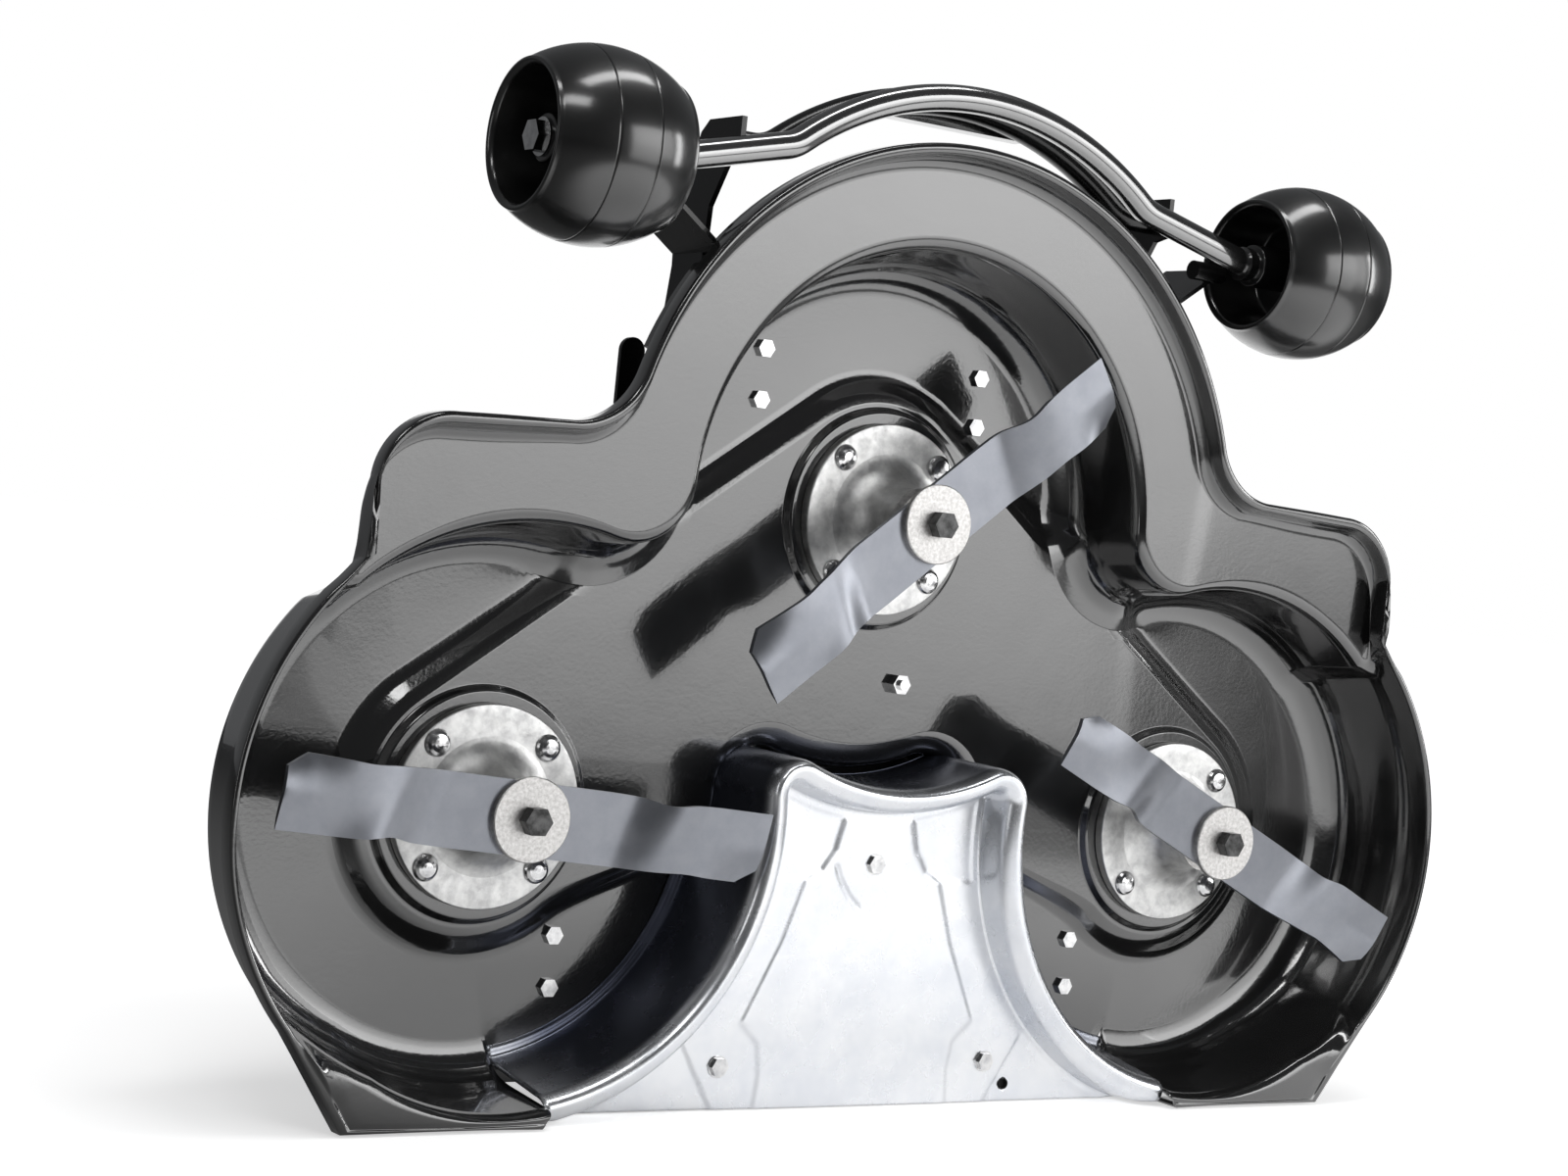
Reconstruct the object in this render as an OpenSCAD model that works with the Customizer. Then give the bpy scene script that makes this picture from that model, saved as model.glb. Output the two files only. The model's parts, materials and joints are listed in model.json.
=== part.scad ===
// Three-blade rear-discharge mower deck, standing on its rear edge.
// Deck frame used by the modules: x across the machine, y to the front,
// z out of the blade side. stand() turns it up and sets the rear edge at z = 0.
// Lengths are millimetres.

/* [Spindles and blades] */
// sideways distance from the centre spindle to each outer spindle
spindle_side = 380; // [370:1:390]
// how far the centre spindle sits ahead of the outer pair
spindle_ahead = 276; // [272:1:284]
// length of each blade from tip to tip
blade_len = 456; // [430:1:460]
// width of the blade bar
blade_w = 62; // [54:1:66]
// thickness of the blade steel
blade_t = 5; // [4:0.5:6]
// how far the tips drop below the blade's middle
blade_drop = 14; // [8:1:16]
// radius of the spindle housing's flange
flange_r = 87.5; // [84:0.5:90]
// thickness of the flange at its edge
flange_t = 11; // [8:1:13]
// radius of the spindle shaft
shaft_r = 12.5; // [11:0.5:14]
// outer radius of each bearing
bearing_r = 26; // [24:0.5:28]
// width of each bearing
bearing_w = 15; // [12:1:16]
// radius of the thick washer under the blade bolt
washer_r = 35.7; // [32:0.5:38]
// size across the flats of the blade bolt
bolt_af = 22; // [19:1:24]

/* [Stamped shell] */
// thickness of the deck sheet
sheet = 3; // [2.5:0.25:3.5]
// height of the rim above the spindle flange faces
rim_z = 92; // [90:1:98]
// height of the flat shelf round the front
shelf_z = 68; // [60:1:72]
// depth of the outer ring of each blade chamber
ring_depth = 31; // [27:1:33]
// depth of the raised middle that carries the spindles
middle_depth = 18; // [16:1:20]
// radius of each blade chamber at the shelf
chamber_r = 243; // [242:1:246]
// radius of the flat chamber floor
floor_r = 203; // [200:1:206]
// radius of the rolled rim beside each outer chamber
side_rim_r = 262; // [260:1:266]
// radius of the rolled rim round the front chamber
front_rim_r = 331; // [326:1:336]
// radius that blends two chamber walls into each other
cusp_r = 60; // [52:1:66]
// width of the rim's turned lip
lip_w = 6; // [4:0.5:7]

/* [Gauge wheels] */
// largest radius of each wheel
wheel_r = 82; // [76:1:84]
// width of each wheel
wheel_w = 130; // [120:1:136]
// sideways distance to the middle of each wheel
wheel_side = 390; // [386:1:398]
// distance of the wheel axle ahead of the front edge of the rim, negative when behind it
wheel_ahead = -55; // [-59:1:-47]
// height of the wheel axle above the flange faces
wheel_z = 85; // [80:1:90]
// radius of the front bar's tube
bar_r = 12; // [10:0.5:13]
// radius of the wheel axle bolts
axle_r = 8; // [7:0.5:9]

/* [Discharge baffle] */
// thickness of the galvanised sheet
zinc_t = 2; // [1.5:0.25:2.5]
// height of the baffle's ridge above the flange faces
ridge_z = 75; // [70:1:78]
// height of the baffle's recessed floor
baffle_floor_z = 36; // [32:1:42]

/* [Drive] */
// radius at the bottom of each belt groove
pulley_r = 56; // [52:1:60]
// thickness of the belt from back to groove side
belt_t = 9; // [8:0.5:10]
// width of the belt
belt_w = 12; // [11:0.5:13]
// radius of the idler's rim
idler_r = 34; // [30:1:36]
// depth of the belt plane behind the flange faces
belt_depth = 78; // [76:1:82]

/* [Hidden] */

$fn = 64;
over = 1; // how far a cut runs past the surface it starts from
run_gap = 0.05; // radial running clearance of a shaft in its bearing
fit_gap = 0.3; // clearance of a screw or a housing in its hole
work_gap = 0.4; // clearance between pieces that pass each other

// unit vectors from the centre spindle to the right one and across that line
span = norm([spindle_side, spindle_ahead]);
along = [spindle_side, -spindle_ahead] / span;
across = [spindle_ahead, spindle_side] / span;
cc = [0, spindle_ahead];
rr = [spindle_side, 0];
function polar(c, r, a) = [c.x + r * cos(a), c.y + r * sin(a)];
function mix(a, b, t) = a * (1 - t) + b * t;
function clamp01(t) = max(0, min(1, t));
function bearing_of(v) = atan2(v.y, v.x);

// chamber wall: arcs about the spindles, blended by one arc about cusp_c
cusp_out = chamber_r + cusp_r;
cusp_c = (cc + rr) / 2 + across * sqrt(pow(cusp_out, 2) - pow(span / 2, 2));
a_cc = bearing_of(cusp_c - cc);
a_rc = bearing_of(cusp_c - rr);

// outer rim: arc about the centre spindle, hollow blend, shoulder, side, corner
shoulder_y = 325; // level of the shoulders ahead of the outer spindles
shoulder_fall = 5; // how much the shoulder line drops outward
hollow_r = 70; // radius of the hollow between the front arc and a shoulder
corner_r = 65; // radius of a shoulder's outer corner
shoulder_x = 487; // where a shoulder's corner arc starts
notch_y = 205; // where a shoulder meets the side wall
rim_front = spindle_ahead + front_rim_r;
axle_y = rim_front + wheel_ahead;
foot_x = 526; // sideways place of each rear foot corner
rear_y = 253; // distance of the rear edge behind the outer spindles
hood_half_w = 345; // half width of the rear opening at the rear edge
hollow_c = [sqrt(pow(front_rim_r + hollow_r, 2)
  - pow(shoulder_y + hollow_r - spindle_ahead, 2)), shoulder_y + hollow_r];
a_hollow = bearing_of(hollow_c - cc);
corner_c = [shoulder_x, shoulder_y - shoulder_fall - corner_r];
side_a = 41; // where the plain side wall starts, as an angle about the spindle
side_b = -40; // where it ends
web_end = -100; // where the chamber wall ends at the rear opening
corner_a = 62; // chamber angle at the start of the shoulder's corner
corner_b = 47; // chamber angle at its end

// brow: the rolled front edge of the rear opening
brow_r = 215; // radius of the brow about the centre spindle
open_r = 236; // radius of the opening's flanks about the outer spindles
brow_corner_r = 36; // radius of the opening's front corners
kc = brow_r + brow_corner_r;
kr = open_r + brow_corner_r;
k_along = (pow(kc, 2) - pow(kr, 2) + pow(span, 2)) / (2 * span);
brow_k = cc + along * k_along - across * sqrt(pow(kc, 2) - pow(k_along, 2));
a_kr = bearing_of(rr - brow_k);
a_kc = bearing_of(cc - brow_k);
flank_end = bearing_of(brow_k - rr) - 360;
brow_start = bearing_of(brow_k - cc);

// raised middle: outlines at these radii about each spindle, base to top
mid_r = [134, 127, 114, 106];
brow_step = [-8, -5, 1, 6]; // the same outlines along the brow's roll
brow_roll = [15, 8, 2, 0]; // how far each lies below the raised middle there
mid_fall_share = [1, 0.85, 0.15, 0]; // how far down the step each outline lies
brow_edge = 9; // how far the free edge runs past the brow's radius
brow_drop = 25; // how far the free edge lies below the raised middle
mid_turn = -130; // where the middle's outline leaves the outer spindle
mid_turn_share = 0.35; // part of the flank that the outline spends on its arc

// number of steps in each stretch of the half outline, front to rear
n1 = 15;
n2 = 8;
n3 = 5;
n4 = 6;
n5 = 2;
n6 = 13;
n7 = 4;
n8 = 5;
n9 = 10;
n10 = 6;
n11 = 4;
s1 = n1;
s2 = s1 + n2;
s3 = s2 + n3;
s4 = s3 + n4;
s5 = s4 + n5;
s6 = s5 + n6;
s7 = s6 + n7;
s8 = s7 + n8;
s9 = s8 + n9;
s10 = s9 + n10;
half_n = s10 + n11;
rows = 16;
floor_row = 11;

// outer rim point of step i
function rim_pt(i) =
  i <= s1 ? polar(cc, front_rim_r, mix(90, a_hollow, i / n1)) :
  i <= s2 ? polar(hollow_c, hollow_r, mix(180 + a_hollow, 270, (i - s1) / n2)) :
  i <= s3 ? mix([hollow_c.x, shoulder_y], corner_c + [0, corner_r], (i - s2) / n3) :
  i <= s4 ? polar(corner_c, corner_r, mix(90, 0, (i - s3) / n4)) :
  i < s5 ? [corner_c.x + corner_r, notch_y] :
  i <= s6 ? polar(rr, side_rim_r, mix(side_a, side_b, (i - s5) / n6)) :
  i <= s7 ? mix(polar(rr, side_rim_r, side_b), [foot_x, -rear_y], (i - s6) / n7) :
  mix([foot_x, -rear_y], [hood_half_w, -rear_y], (i - s7) / n8);
// chamber angle of step i, about the arc that chamber_pt uses there
function wall_a(i) =
  i <= s1 ? mix(90, a_cc, i / n1) :
  i <= s2 ? mix(180 + a_cc, 180 + a_rc, (i - s1) / n2) :
  i <= s3 ? mix(a_rc, corner_a, (i - s2) / n3) :
  i <= s4 ? mix(corner_a, corner_b, (i - s3) / n4) :
  i <= s5 ? mix(corner_b, side_a, (i - s4) / n5) :
  i <= s6 ? mix(side_a, side_b, (i - s5) / n6) :
  mix(side_b, web_end, (i - s6) / (n7 + n8));
// chamber outline of step i at radius r
function chamber_pt(i, r) =
  i <= s1 ? polar(cc, r, wall_a(i)) :
  i <= s2 ? polar(cusp_c, cusp_out - r, wall_a(i)) : polar(rr, r, wall_a(i));
// 1 where the wall runs straight up to the rim, 0 where a shelf or web lies between
function side_share(i) =
  i <= s4 ? 0 : i < s5 ? 0.5 : i <= s6 ? 1 : clamp01(1 - (i - s6) / 3);
// level of the shelf, and of the corner web behind the side wall
web_z = 86;
function ledge_z(i) = i <= s6 ? shelf_z : web_z;
// turned lip: outward round the deck, and turned back along the rear edge
function turn_share(i) = clamp01((i - s6) / n7);
function turn_deep(i) = i < s7 + 2 ? mix(rim_round * 0.7, flange_low, turn_share(i)) : flange_deep;

wall_lean = 13; // how much wider the plain side wall is at the shelf's level
foot_lean = 5; // how much each chamber wall narrows from shelf to foot
foot_z = 5; // height of the foot of the wall, where the floor's radius starts
ledge_in = 14; // from the rim to the flat of the shelf
ledge_mid = 6; // from the rim to the foot of the rim's wall
edge_r = 7; // rounding where the shelf turns into the chamber
rim_round = 3; // rounding of the rim
flange_deep = 118; // depth of the flange turned back along the rear edge
flange_low = 20; // its depth at the foot corners
function seat_r(i) = mix(chamber_r, chamber_r + wall_lean, side_share(i));
function foot_r(i) = mix(chamber_r - foot_lean, chamber_r + foot_lean - over, side_share(i));
function lead(i, d) = let (a = rim_pt(i), b = chamber_pt(i, seat_r(i) + edge_r / 3),
  l = norm(b - a)) a + (b - a) * (d < 0 ? d / l : d / l);
function reach(i) = norm(chamber_pt(i, seat_r(i) + edge_r / 3) - rim_pt(i));
function skirt_xy(i, k) =
  k == 0 ? lead(i, -mix(lip_w, rim_round, turn_share(i))) :
  k == 1 ? lead(i, -mix(over, rim_round * 0.8, turn_share(i))) :
  k == 2 ? lead(i, min(rim_round, reach(i) * 0.15)) :
  k == 3 ? lead(i, min(ledge_mid, reach(i) * 0.3)) :
  k == 4 ? lead(i, min(ledge_in, reach(i) * 0.5)) :
  k == 5 ? lead(i, reach(i) - min(edge_r, reach(i) * 0.25)) :
  k == 6 ? chamber_pt(i, seat_r(i) + edge_r / 3) :
  k == 7 ? chamber_pt(i, seat_r(i)) :
  chamber_pt(i, mix(floor_r, foot_r(i), cos((k - 8) * 30)));
function skirt_z(i, k) = let (q = side_share(i), z = ledge_z(i)) (
  k == 0 ? rim_z - turn_deep(i) :
  k == 1 ? rim_z - mix(0, rim_round, turn_share(i)) :
  k == 2 ? rim_z - rim_round :
  k == 3 ? mix(min(z + edge_r, rim_z - rim_round - over), z + ledge_in, q) :
  k == 4 ? mix(z, z + edge_r, q) :
  k == 5 ? z :
  k == 6 ? z - edge_r * 0.6 :
  k == 7 ? z - edge_r * 1.6 :
  foot_z + (mid_level(floor_room(i)) - foot_z) * sin((k - 8) * 30));

// frame of the raised middle's outline at step i: [point, outward angle]
a_across = bearing_of(across);
m1 = round(n1 / 2);
function floor_t(i) = (chamber_pt(i, floor_r) - cc) * along / span;
third = floor_t(s1);
function mid_frame(i) =
  i <= m1 ? [cc, mix(90, a_across, i / m1)] :
  i <= s1 ? [mix(cc, rr, third * (i - m1) / (n1 - m1)), a_across] :
  i <= s2 ? [mix(cc, rr, floor_t(i)), a_across] :
  i <= s3 ? [mix(cc, rr, mix(1 - third, 1, (i - s2) / n3)), a_across] :
  i <= s5 ? [rr, mix(a_across, side_a, (i - s3) / (s5 - s3))] :
  i <= s6 ? [rr, mix(side_a, side_b, (i - s5) / n6)] :
  [rr, mix(side_b, web_end, (i - s6) / (n7 + n8))];
// room between the middle's centre line and the chamber floor's edge
function floor_room(i) = i <= m1 || i > s3 ? floor_r :
  (chamber_pt(i, floor_r) - cc) * across;
mid_nip = 3; // step between outlines where the chamber wall crowds them
function mid_rad(i, j) = min(mid_r[j], floor_room(i) - mid_nip * (j + 1));
// level of the sheet at distance r from the middle's centre line
function mid_level(r) = -middle_depth - (ring_depth - middle_depth)
  * lookup(r, [for (j = [3 : -1 : 0]) [mid_r[j], mid_fall_share[j]]]);
// outline point, j = 0 at the base to 3 at the top
function mid_pt(i, j) =
  i <= s8 ? let (f = mid_frame(i)) polar(f[0], mid_rad(i, j), f[1]) :
  i <= s9 ? let (t = (i - s8) / n9) (t <= mid_turn_share ?
    polar(rr, mid_r[j], mix(web_end, mid_turn, t / mid_turn_share)) :
    mix(polar(rr, mid_r[j], mid_turn),
      polar(brow_k, brow_corner_r + brow_step[j], a_kr),
      (t - mid_turn_share) / (1 - mid_turn_share))) :
  i <= s10 ? polar(brow_k, brow_corner_r + brow_step[j], mix(a_kr, a_kc, (i - s9) / n10)) :
  polar(cc, brow_r - brow_step[j], mix(brow_start, -90, (i - s10) / n11));
function brow_share(i) = clamp01((i - s9 + 3) / 3);
function mid_z(i, j) = i <= s8 ? mid_level(mid_rad(i, j)) :
  -middle_depth - mix((ring_depth - middle_depth) * mid_fall_share[j],
    brow_roll[j], brow_share(i));
// free edge of the opening, beyond the chamber wall
roll_reach = brow_edge + brow_step[3];
function open_pt(i) =
  i <= s9 ? polar(rr, open_r + roll_reach * brow_share(i), mix(web_end, flank_end, (i - s8) / n9)) :
  i <= s10 ? polar(brow_k, brow_corner_r - roll_reach, mix(a_kr, a_kc, (i - s9) / n10)) :
  polar(cc, brow_r + roll_reach, mix(brow_start, -90, (i - s10) / n11));
function open_z(i) = -mix(ring_depth, middle_depth + brow_drop, brow_share(i));

function form_pt(i, k) =
  k > floor_row ? let (p = mid_pt(i, k - floor_row - 1)) [p.x, p.y, mid_z(i, k - floor_row - 1)] :
  i <= s8 ? let (p = skirt_xy(i, k)) [p.x, p.y, skirt_z(i, k)] :
  let (p = open_pt(i)) [p.x, p.y, open_z(i)];
form = [for (i = [0 : half_n]) [for (k = [0 : rows - 1]) form_pt(i, k)]];
function flip(p) = [-p.x, p.y, p.z];
function at(i, k) = i < 0 ? flip(form[-i][k]) :
  i > half_n ? flip(form[2 * half_n - i][k]) : form[i][k];
function unit(v) = v / norm(v);
function face_dir(i, k) =
  (i > s8 && k < floor_row) || k == rows - 1 ? [0, 0, 1] :
  let (last = k < floor_row ? s8 : half_n + 1,
    k0 = (k == floor_row && i > s8) ? k : max(k - 1, 0),
    k1 = min(k + 1, rows - 1))
  unit(cross(at(i, k1) - at(i, k0), at(min(i + 1, last), k) - at(i - 1, k)));
inner_half = [for (i = [0 : half_n]) [for (k = [0 : rows - 1])
  form[i][k] - sheet * face_dir(i, k)]];

cols = 2 * half_n;
function col_pt(list, j, k) = j <= half_n ? list[j][k] : flip(list[cols - j][k]);
function half_of(j) = j <= half_n ? j : cols - j;
// point numbers: blade side first, then the other side, then the cap centres
function fv(j, k) = (j % cols) * rows + k;
function bv(j, k) = cols * rows + fv(j, k);
caps0 = 2 * cols * rows;
function cap_of(j) = let (i = min(half_of(j % cols), half_of((j + 1) % cols)),
  m = s9 + round(n10 / 2))
  (i >= s1 + n2 / 2 && i < m) ? (j < half_n ? 1 : 2) : 0;
module shell_sheet() {
  caps = [cc, rr, [-rr.x, rr.y]];
  pts = concat(
    [for (j = [0 : cols - 1]) for (k = [0 : rows - 1]) col_pt(form, j, k)],
    [for (j = [0 : cols - 1]) for (k = [0 : rows - 1]) col_pt(inner_half, j, k)],
    [for (c = caps) [c.x, c.y, -middle_depth]],
    [for (c = caps) [c.x, c.y, -middle_depth - sheet]]);
  strips = [for (j = [0 : cols - 1]) let (i = max(half_of(j), half_of((j + 1) % cols)))
    for (k = [(i <= s8 ? 0 : floor_row) : rows - 2]) [j, k]];
  edges = [for (j = [0 : cols - 1]) let (i = max(half_of(j), half_of((j + 1) % cols)))
    [j, i <= s8 ? 0 : floor_row]];
  turns = [for (j = [0 : cols - 1]) if (cap_of(j) != cap_of((j + 1) % cols)) j];
  polyhedron(points = pts, convexity = 8, faces = concat(
    [for (s = strips) let (j = s[0], k = s[1])
      [fv(j, k), fv(j + 1, k), fv(j + 1, k + 1), fv(j, k + 1)]],
    [for (s = strips) let (j = s[0], k = s[1])
      [bv(j, k), bv(j, k + 1), bv(j + 1, k + 1), bv(j + 1, k)]],
    [for (e = edges) let (j = e[0], k = e[1])
      [fv(j + 1, k), fv(j, k), bv(j, k), bv(j + 1, k)]],
    [for (k = [0 : floor_row - 1])
      [fv(s8, k + 1), fv(s8, k), bv(s8, k), bv(s8, k + 1)]],
    [for (k = [0 : floor_row - 1]) let (j = cols - s8)
      [fv(j, k), fv(j, k + 1), bv(j, k + 1), bv(j, k)]],
    [for (j = [0 : cols - 1]) [fv(j, rows - 1), fv(j + 1, rows - 1), caps0 + cap_of(j)]],
    [for (j = [0 : cols - 1])
      [bv(j + 1, rows - 1), bv(j, rows - 1), caps0 + len(caps) + cap_of(j)]],
    [for (j = turns) [caps0 + cap_of(j), fv(j + 1, rows - 1), caps0 + cap_of(j + 1)]],
    [for (j = turns) [caps0 + len(caps) + cap_of(j + 1), bv(j + 1, rows - 1),
      caps0 + len(caps) + cap_of(j)]]));
}

foot_up = rear_y + rim_round;
stack_top = belt_depth + 27; // how far the spindle nuts reach behind the flange faces
y_shift = (wheel_z + wheel_r - stack_top) / 2;
module stand() {
  translate([0, y_shift, foot_up]) rotate([90, 0, 0]) children();
}
spots = [[-spindle_side, 0], [0, spindle_ahead], [spindle_side, 0]];
module at_spindles() {
  for (p = spots) translate([p.x, p.y, 0]) children();
}

/* shell */
pad_top_r = 97; // radius of the flat pad under each flange
pad_foot_r = 105; // radius at the pad's foot
housing_r = 43; // radius of the housing's body where it passes the sheet
flange_bolt_ring = 74; // radius of the circle of carriage bolts
flange_bolt_r = 4; // radius of the carriage bolts
screw_r = 4; // radius of the hanger and baffle screws
hanger_front_x = [-131, 111]; // sideways places of the front hanger's screws
hanger_front_out = 95.5; // distance of its lower screws ahead of the centre spindle
hanger_front_y = spindle_ahead + hanger_front_out;
hanger_pitch = 46; // distance between the two screws of a pair
hanger_side_in = 92; // from each outer spindle inward to its hanger screws
hanger_side_back = 113; // from each outer spindle back to the first of them
idler_side = 42; // sideways place of the idler's bolt
idler_behind = 150; // its distance behind the centre spindle
idler_at = [idler_side, spindle_ahead - idler_behind];
idler_bolt_r = 5; // radius of the idler's bolt
module flange_bolt_spots() {
  for (a = [45 : 90 : 315]) rotate([0, 0, a]) translate([flange_bolt_ring, 0, 0]) children();
}
module front_screw_spots() {
  for (x = hanger_front_x) for (j = [0, 1])
    translate([x, hanger_front_y + j * hanger_pitch, 0]) children();
}
module side_screw_spots(s) {
  for (j = [0, 1])
    translate([s * (spindle_side - hanger_side_in), -hanger_side_back - j * hanger_pitch, 0])
      children();
}
hole_h = 4 * ring_depth;
module deck_shell() {
  color([0.13, 0.13, 0.14]) stand() difference() {
    union() {
      shell_sheet();
      at_spindles() translate([0, 0, -middle_depth - over])
        cylinder(h = middle_depth + over - flange_t, r1 = pad_foot_r, r2 = pad_top_r);
    }
    at_spindles() translate([0, 0, -hole_h]) cylinder(h = hole_h, r = housing_r + fit_gap);
    at_spindles() flange_bolt_spots() translate([0, 0, -hole_h])
      cylinder(h = hole_h, r = flange_bolt_r + fit_gap);
    front_screw_spots() translate([0, 0, -hole_h]) cylinder(h = hole_h, r = screw_r + fit_gap);
    side_screw_spots(1) translate([0, 0, -hole_h]) cylinder(h = hole_h, r = screw_r + fit_gap);
    side_screw_spots(-1) translate([0, 0, -hole_h]) cylinder(h = hole_h, r = screw_r + fit_gap);
    translate([idler_at.x, idler_at.y, -hole_h]) cylinder(h = hole_h, r = idler_bolt_r + fit_gap);
  }
}

/* reinforcement strips round the outside of the rim */
strip_w = 4; // thickness of the strips
strip_low = 20; // how far they reach below the lip
strip_gap = 4; // angle between two strips, in degrees
strip_ends = [a_hollow, 60, 112, 140, 180 - a_hollow - strip_gap]; // angles where they end
lip_under = rim_z - rim_round * 0.7 - sheet; // underside of the lip
module rim_strip(c, r, a0, a1) {
  translate([c.x, c.y, lip_under - strip_low]) rotate([0, 0, a0])
    rotate_extrude(angle = a1 - a0, $fn = 128)
      translate([r + over / 2, 0]) square([strip_w, strip_low]);
}
module front_reinforcement() {
  color([0.07, 0.07, 0.08]) stand() {
    for (j = [0 : len(strip_ends) - 2])
      rim_strip(cc, front_rim_r, strip_ends[j] + strip_gap, strip_ends[j + 1]);
  }
}

/* hood over the rear opening, on the far side of the sheet */
hood_z = -belt_depth + 8; // outer face of its roof
hood_t = 2.5; // thickness of its sheet
hood_flank_r = 222; // radius of its flanks about the outer spindles
hood_front_r = 196; // radius of its front about the centre spindle
hood_flank_a = 96; // where its flanks start, as an angle behind the spindle
hood_flank_b = 184; // where they end
hood_front_half = 31; // half the angle of its front wall
hood_rear_y = -250; // its open rear edge
hood_step_y = -62; // ahead of this line its walls end below the brow's free edge
post_r = 7; // radius of the posts that carry the baffle
baffle_screw_x = 147; // sideways place of the rear baffle screws
baffle_screw_y = -217; // their place behind the outer spindles
baffle_front_y = -35; // place of the front baffle screw
module baffle_screw_spots() {
  translate([0, baffle_front_y, 0]) children();
  for (s = [-1, 1]) translate([s * baffle_screw_x, baffle_screw_y, 0]) children();
}
hood_b = polar(rr, hood_flank_r, -hood_flank_b);
hood_c = polar(cc, hood_front_r, hood_front_half - 90);
hood_a = polar(rr, hood_flank_r, -hood_flank_a);
hood_out = unit(hood_c - hood_b);
hood_in = hood_t * [-hood_out.y, hood_out.x];
module hood_outline(d, rear) {
  b = hood_b + hood_in * d;
  c = hood_c + hood_in * d;
  difference() {
    polygon([[-hood_half_w, rear], [hood_half_w, rear], hood_a, b, c,
      [-c.x, c.y], [-b.x, b.y], [-hood_a.x, hood_a.y]]);
    translate(rr) circle(r = hood_flank_r + d * hood_t, $fn = 128);
    translate(-rr) circle(r = hood_flank_r + d * hood_t, $fn = 128);
    translate(cc) circle(r = hood_front_r + d * hood_t, $fn = 128);
  }
}
module discharge_hood() {
  top = -ring_depth - sheet;
  brow_under = -middle_depth - brow_drop - sheet - work_gap;
  color([0.11, 0.11, 0.12]) stand() {
    difference() {
      translate([0, 0, hood_z]) linear_extrude(top - hood_z) hood_outline(0, hood_rear_y);
      translate([0, 0, hood_z + hood_t]) linear_extrude(top - hood_z)
        hood_outline(1, hood_rear_y - over);
      translate([-hood_half_w, hood_step_y, brow_under]) cube([2 * hood_half_w, spindle_ahead, ring_depth]);
    }
    difference() {
      baffle_screw_spots() translate([0, 0, hood_z + hood_t - over])
        cylinder(h = baffle_floor_z - zinc_t - hood_z - hood_t + over, r = post_r);
      baffle_screw_spots() translate([0, 0, baffle_floor_z - screw_len])
        cylinder(h = screw_len, r = screw_r);
    }
  }
}

/* galvanised baffle */
screw_len = 24; // length of the hex screws' shanks
baffle_r = chamber_r; // radius of its ridge about each spindle
baffle_corner_r = 28; // radius of the ridge at its front corners
baffle_rear_y = 243; // its rear edge behind the outer spindles
baffle_rear_more = 12; // how much further back the recessed floor reaches
baffle_k = (cc + rr) / 2 - across * sqrt(pow(baffle_r + baffle_corner_r, 2) - pow(span / 2, 2));
b_kr = bearing_of(rr - baffle_k);
b_kc = bearing_of(cc - baffle_k);
// profile across the ridge, from the foot in the chamber to the recessed floor
b_out = [-30, -19, -6, -2, 3, 8, 14, 26]; // distance out from the ridge's radius
b_level_share = [0, 0, 0.8, 0.96, 1, 0.97, 0.8, 0]; // height, foot or floor to ridge
b_cross = 5; // rows before this one stand on the foot, the rest on the floor
b_rows = len(b_out);
b_front = [-5, -4.5, -4, -2, 3, 8, 14, 26]; // the same distances along the front
b1 = 12;
b2 = b1 + 5;
b3 = b2 + 5;
function b_low(i, k) = k < b_cross ? mix(-ring_depth + zinc_t, -ring_depth,
  clamp01((i - b1) / 2)) : baffle_floor_z;
function b_off(i, k) = mix(b_out[k], b_front[k], clamp01((i - b1 + 2) / 2));
function b_rear(k) = baffle_rear_y + baffle_rear_more * k / (b_rows - 1);
function b_start(r, k) = r * sin(-web_end) > b_rear(k) ? asin(b_rear(k) / r) - 180 : web_end;
function b_xy(i, k) = let (r = baffle_r + b_off(i, k))
  i <= b1 ? polar(rr, r, mix(b_start(r, k), bearing_of(baffle_k - rr) - 360, i / b1)) :
  i <= b2 ? polar(baffle_k, baffle_corner_r - b_off(i, k), mix(b_kr, b_kc, (i - b1) / (b2 - b1))) :
  polar(cc, r, mix(bearing_of(baffle_k - cc), -90, (i - b2) / (b3 - b2)));
b_form = [for (i = [0 : b3]) [for (k = [0 : b_rows - 1]) let (p = b_xy(i, k))
  [p.x, p.y, mix(b_low(i, k), ridge_z, b_level_share[k])]]];
function b_at(i, k) = i > b3 ? flip(b_form[2 * b3 - i][k]) : b_form[i][k];
b_back = [for (i = [0 : b3]) [for (k = [0 : b_rows - 1])
  b_form[i][k] - zinc_t * (k == b_rows - 1 || (k == 0 && i < b1 - 2) ? [0, 0, 1] :
    unit(cross(b_at(i + 1, k) - b_at(max(i - 1, 0), k),
      b_at(i, min(k + 1, b_rows - 1)) - b_at(i, max(k - 1, 0)))))]];
b_cols = 2 * b3 + 1;
function b_col(list, j, k) = j <= b3 ? list[j][k] : flip(list[2 * b3 - j][k]);
function bf(j, k) = j * b_rows + k;
function bb(j, k) = (b_cols + j) * b_rows + k;
baffle_mid_y = -120; // centre of the recessed floor's fan
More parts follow.
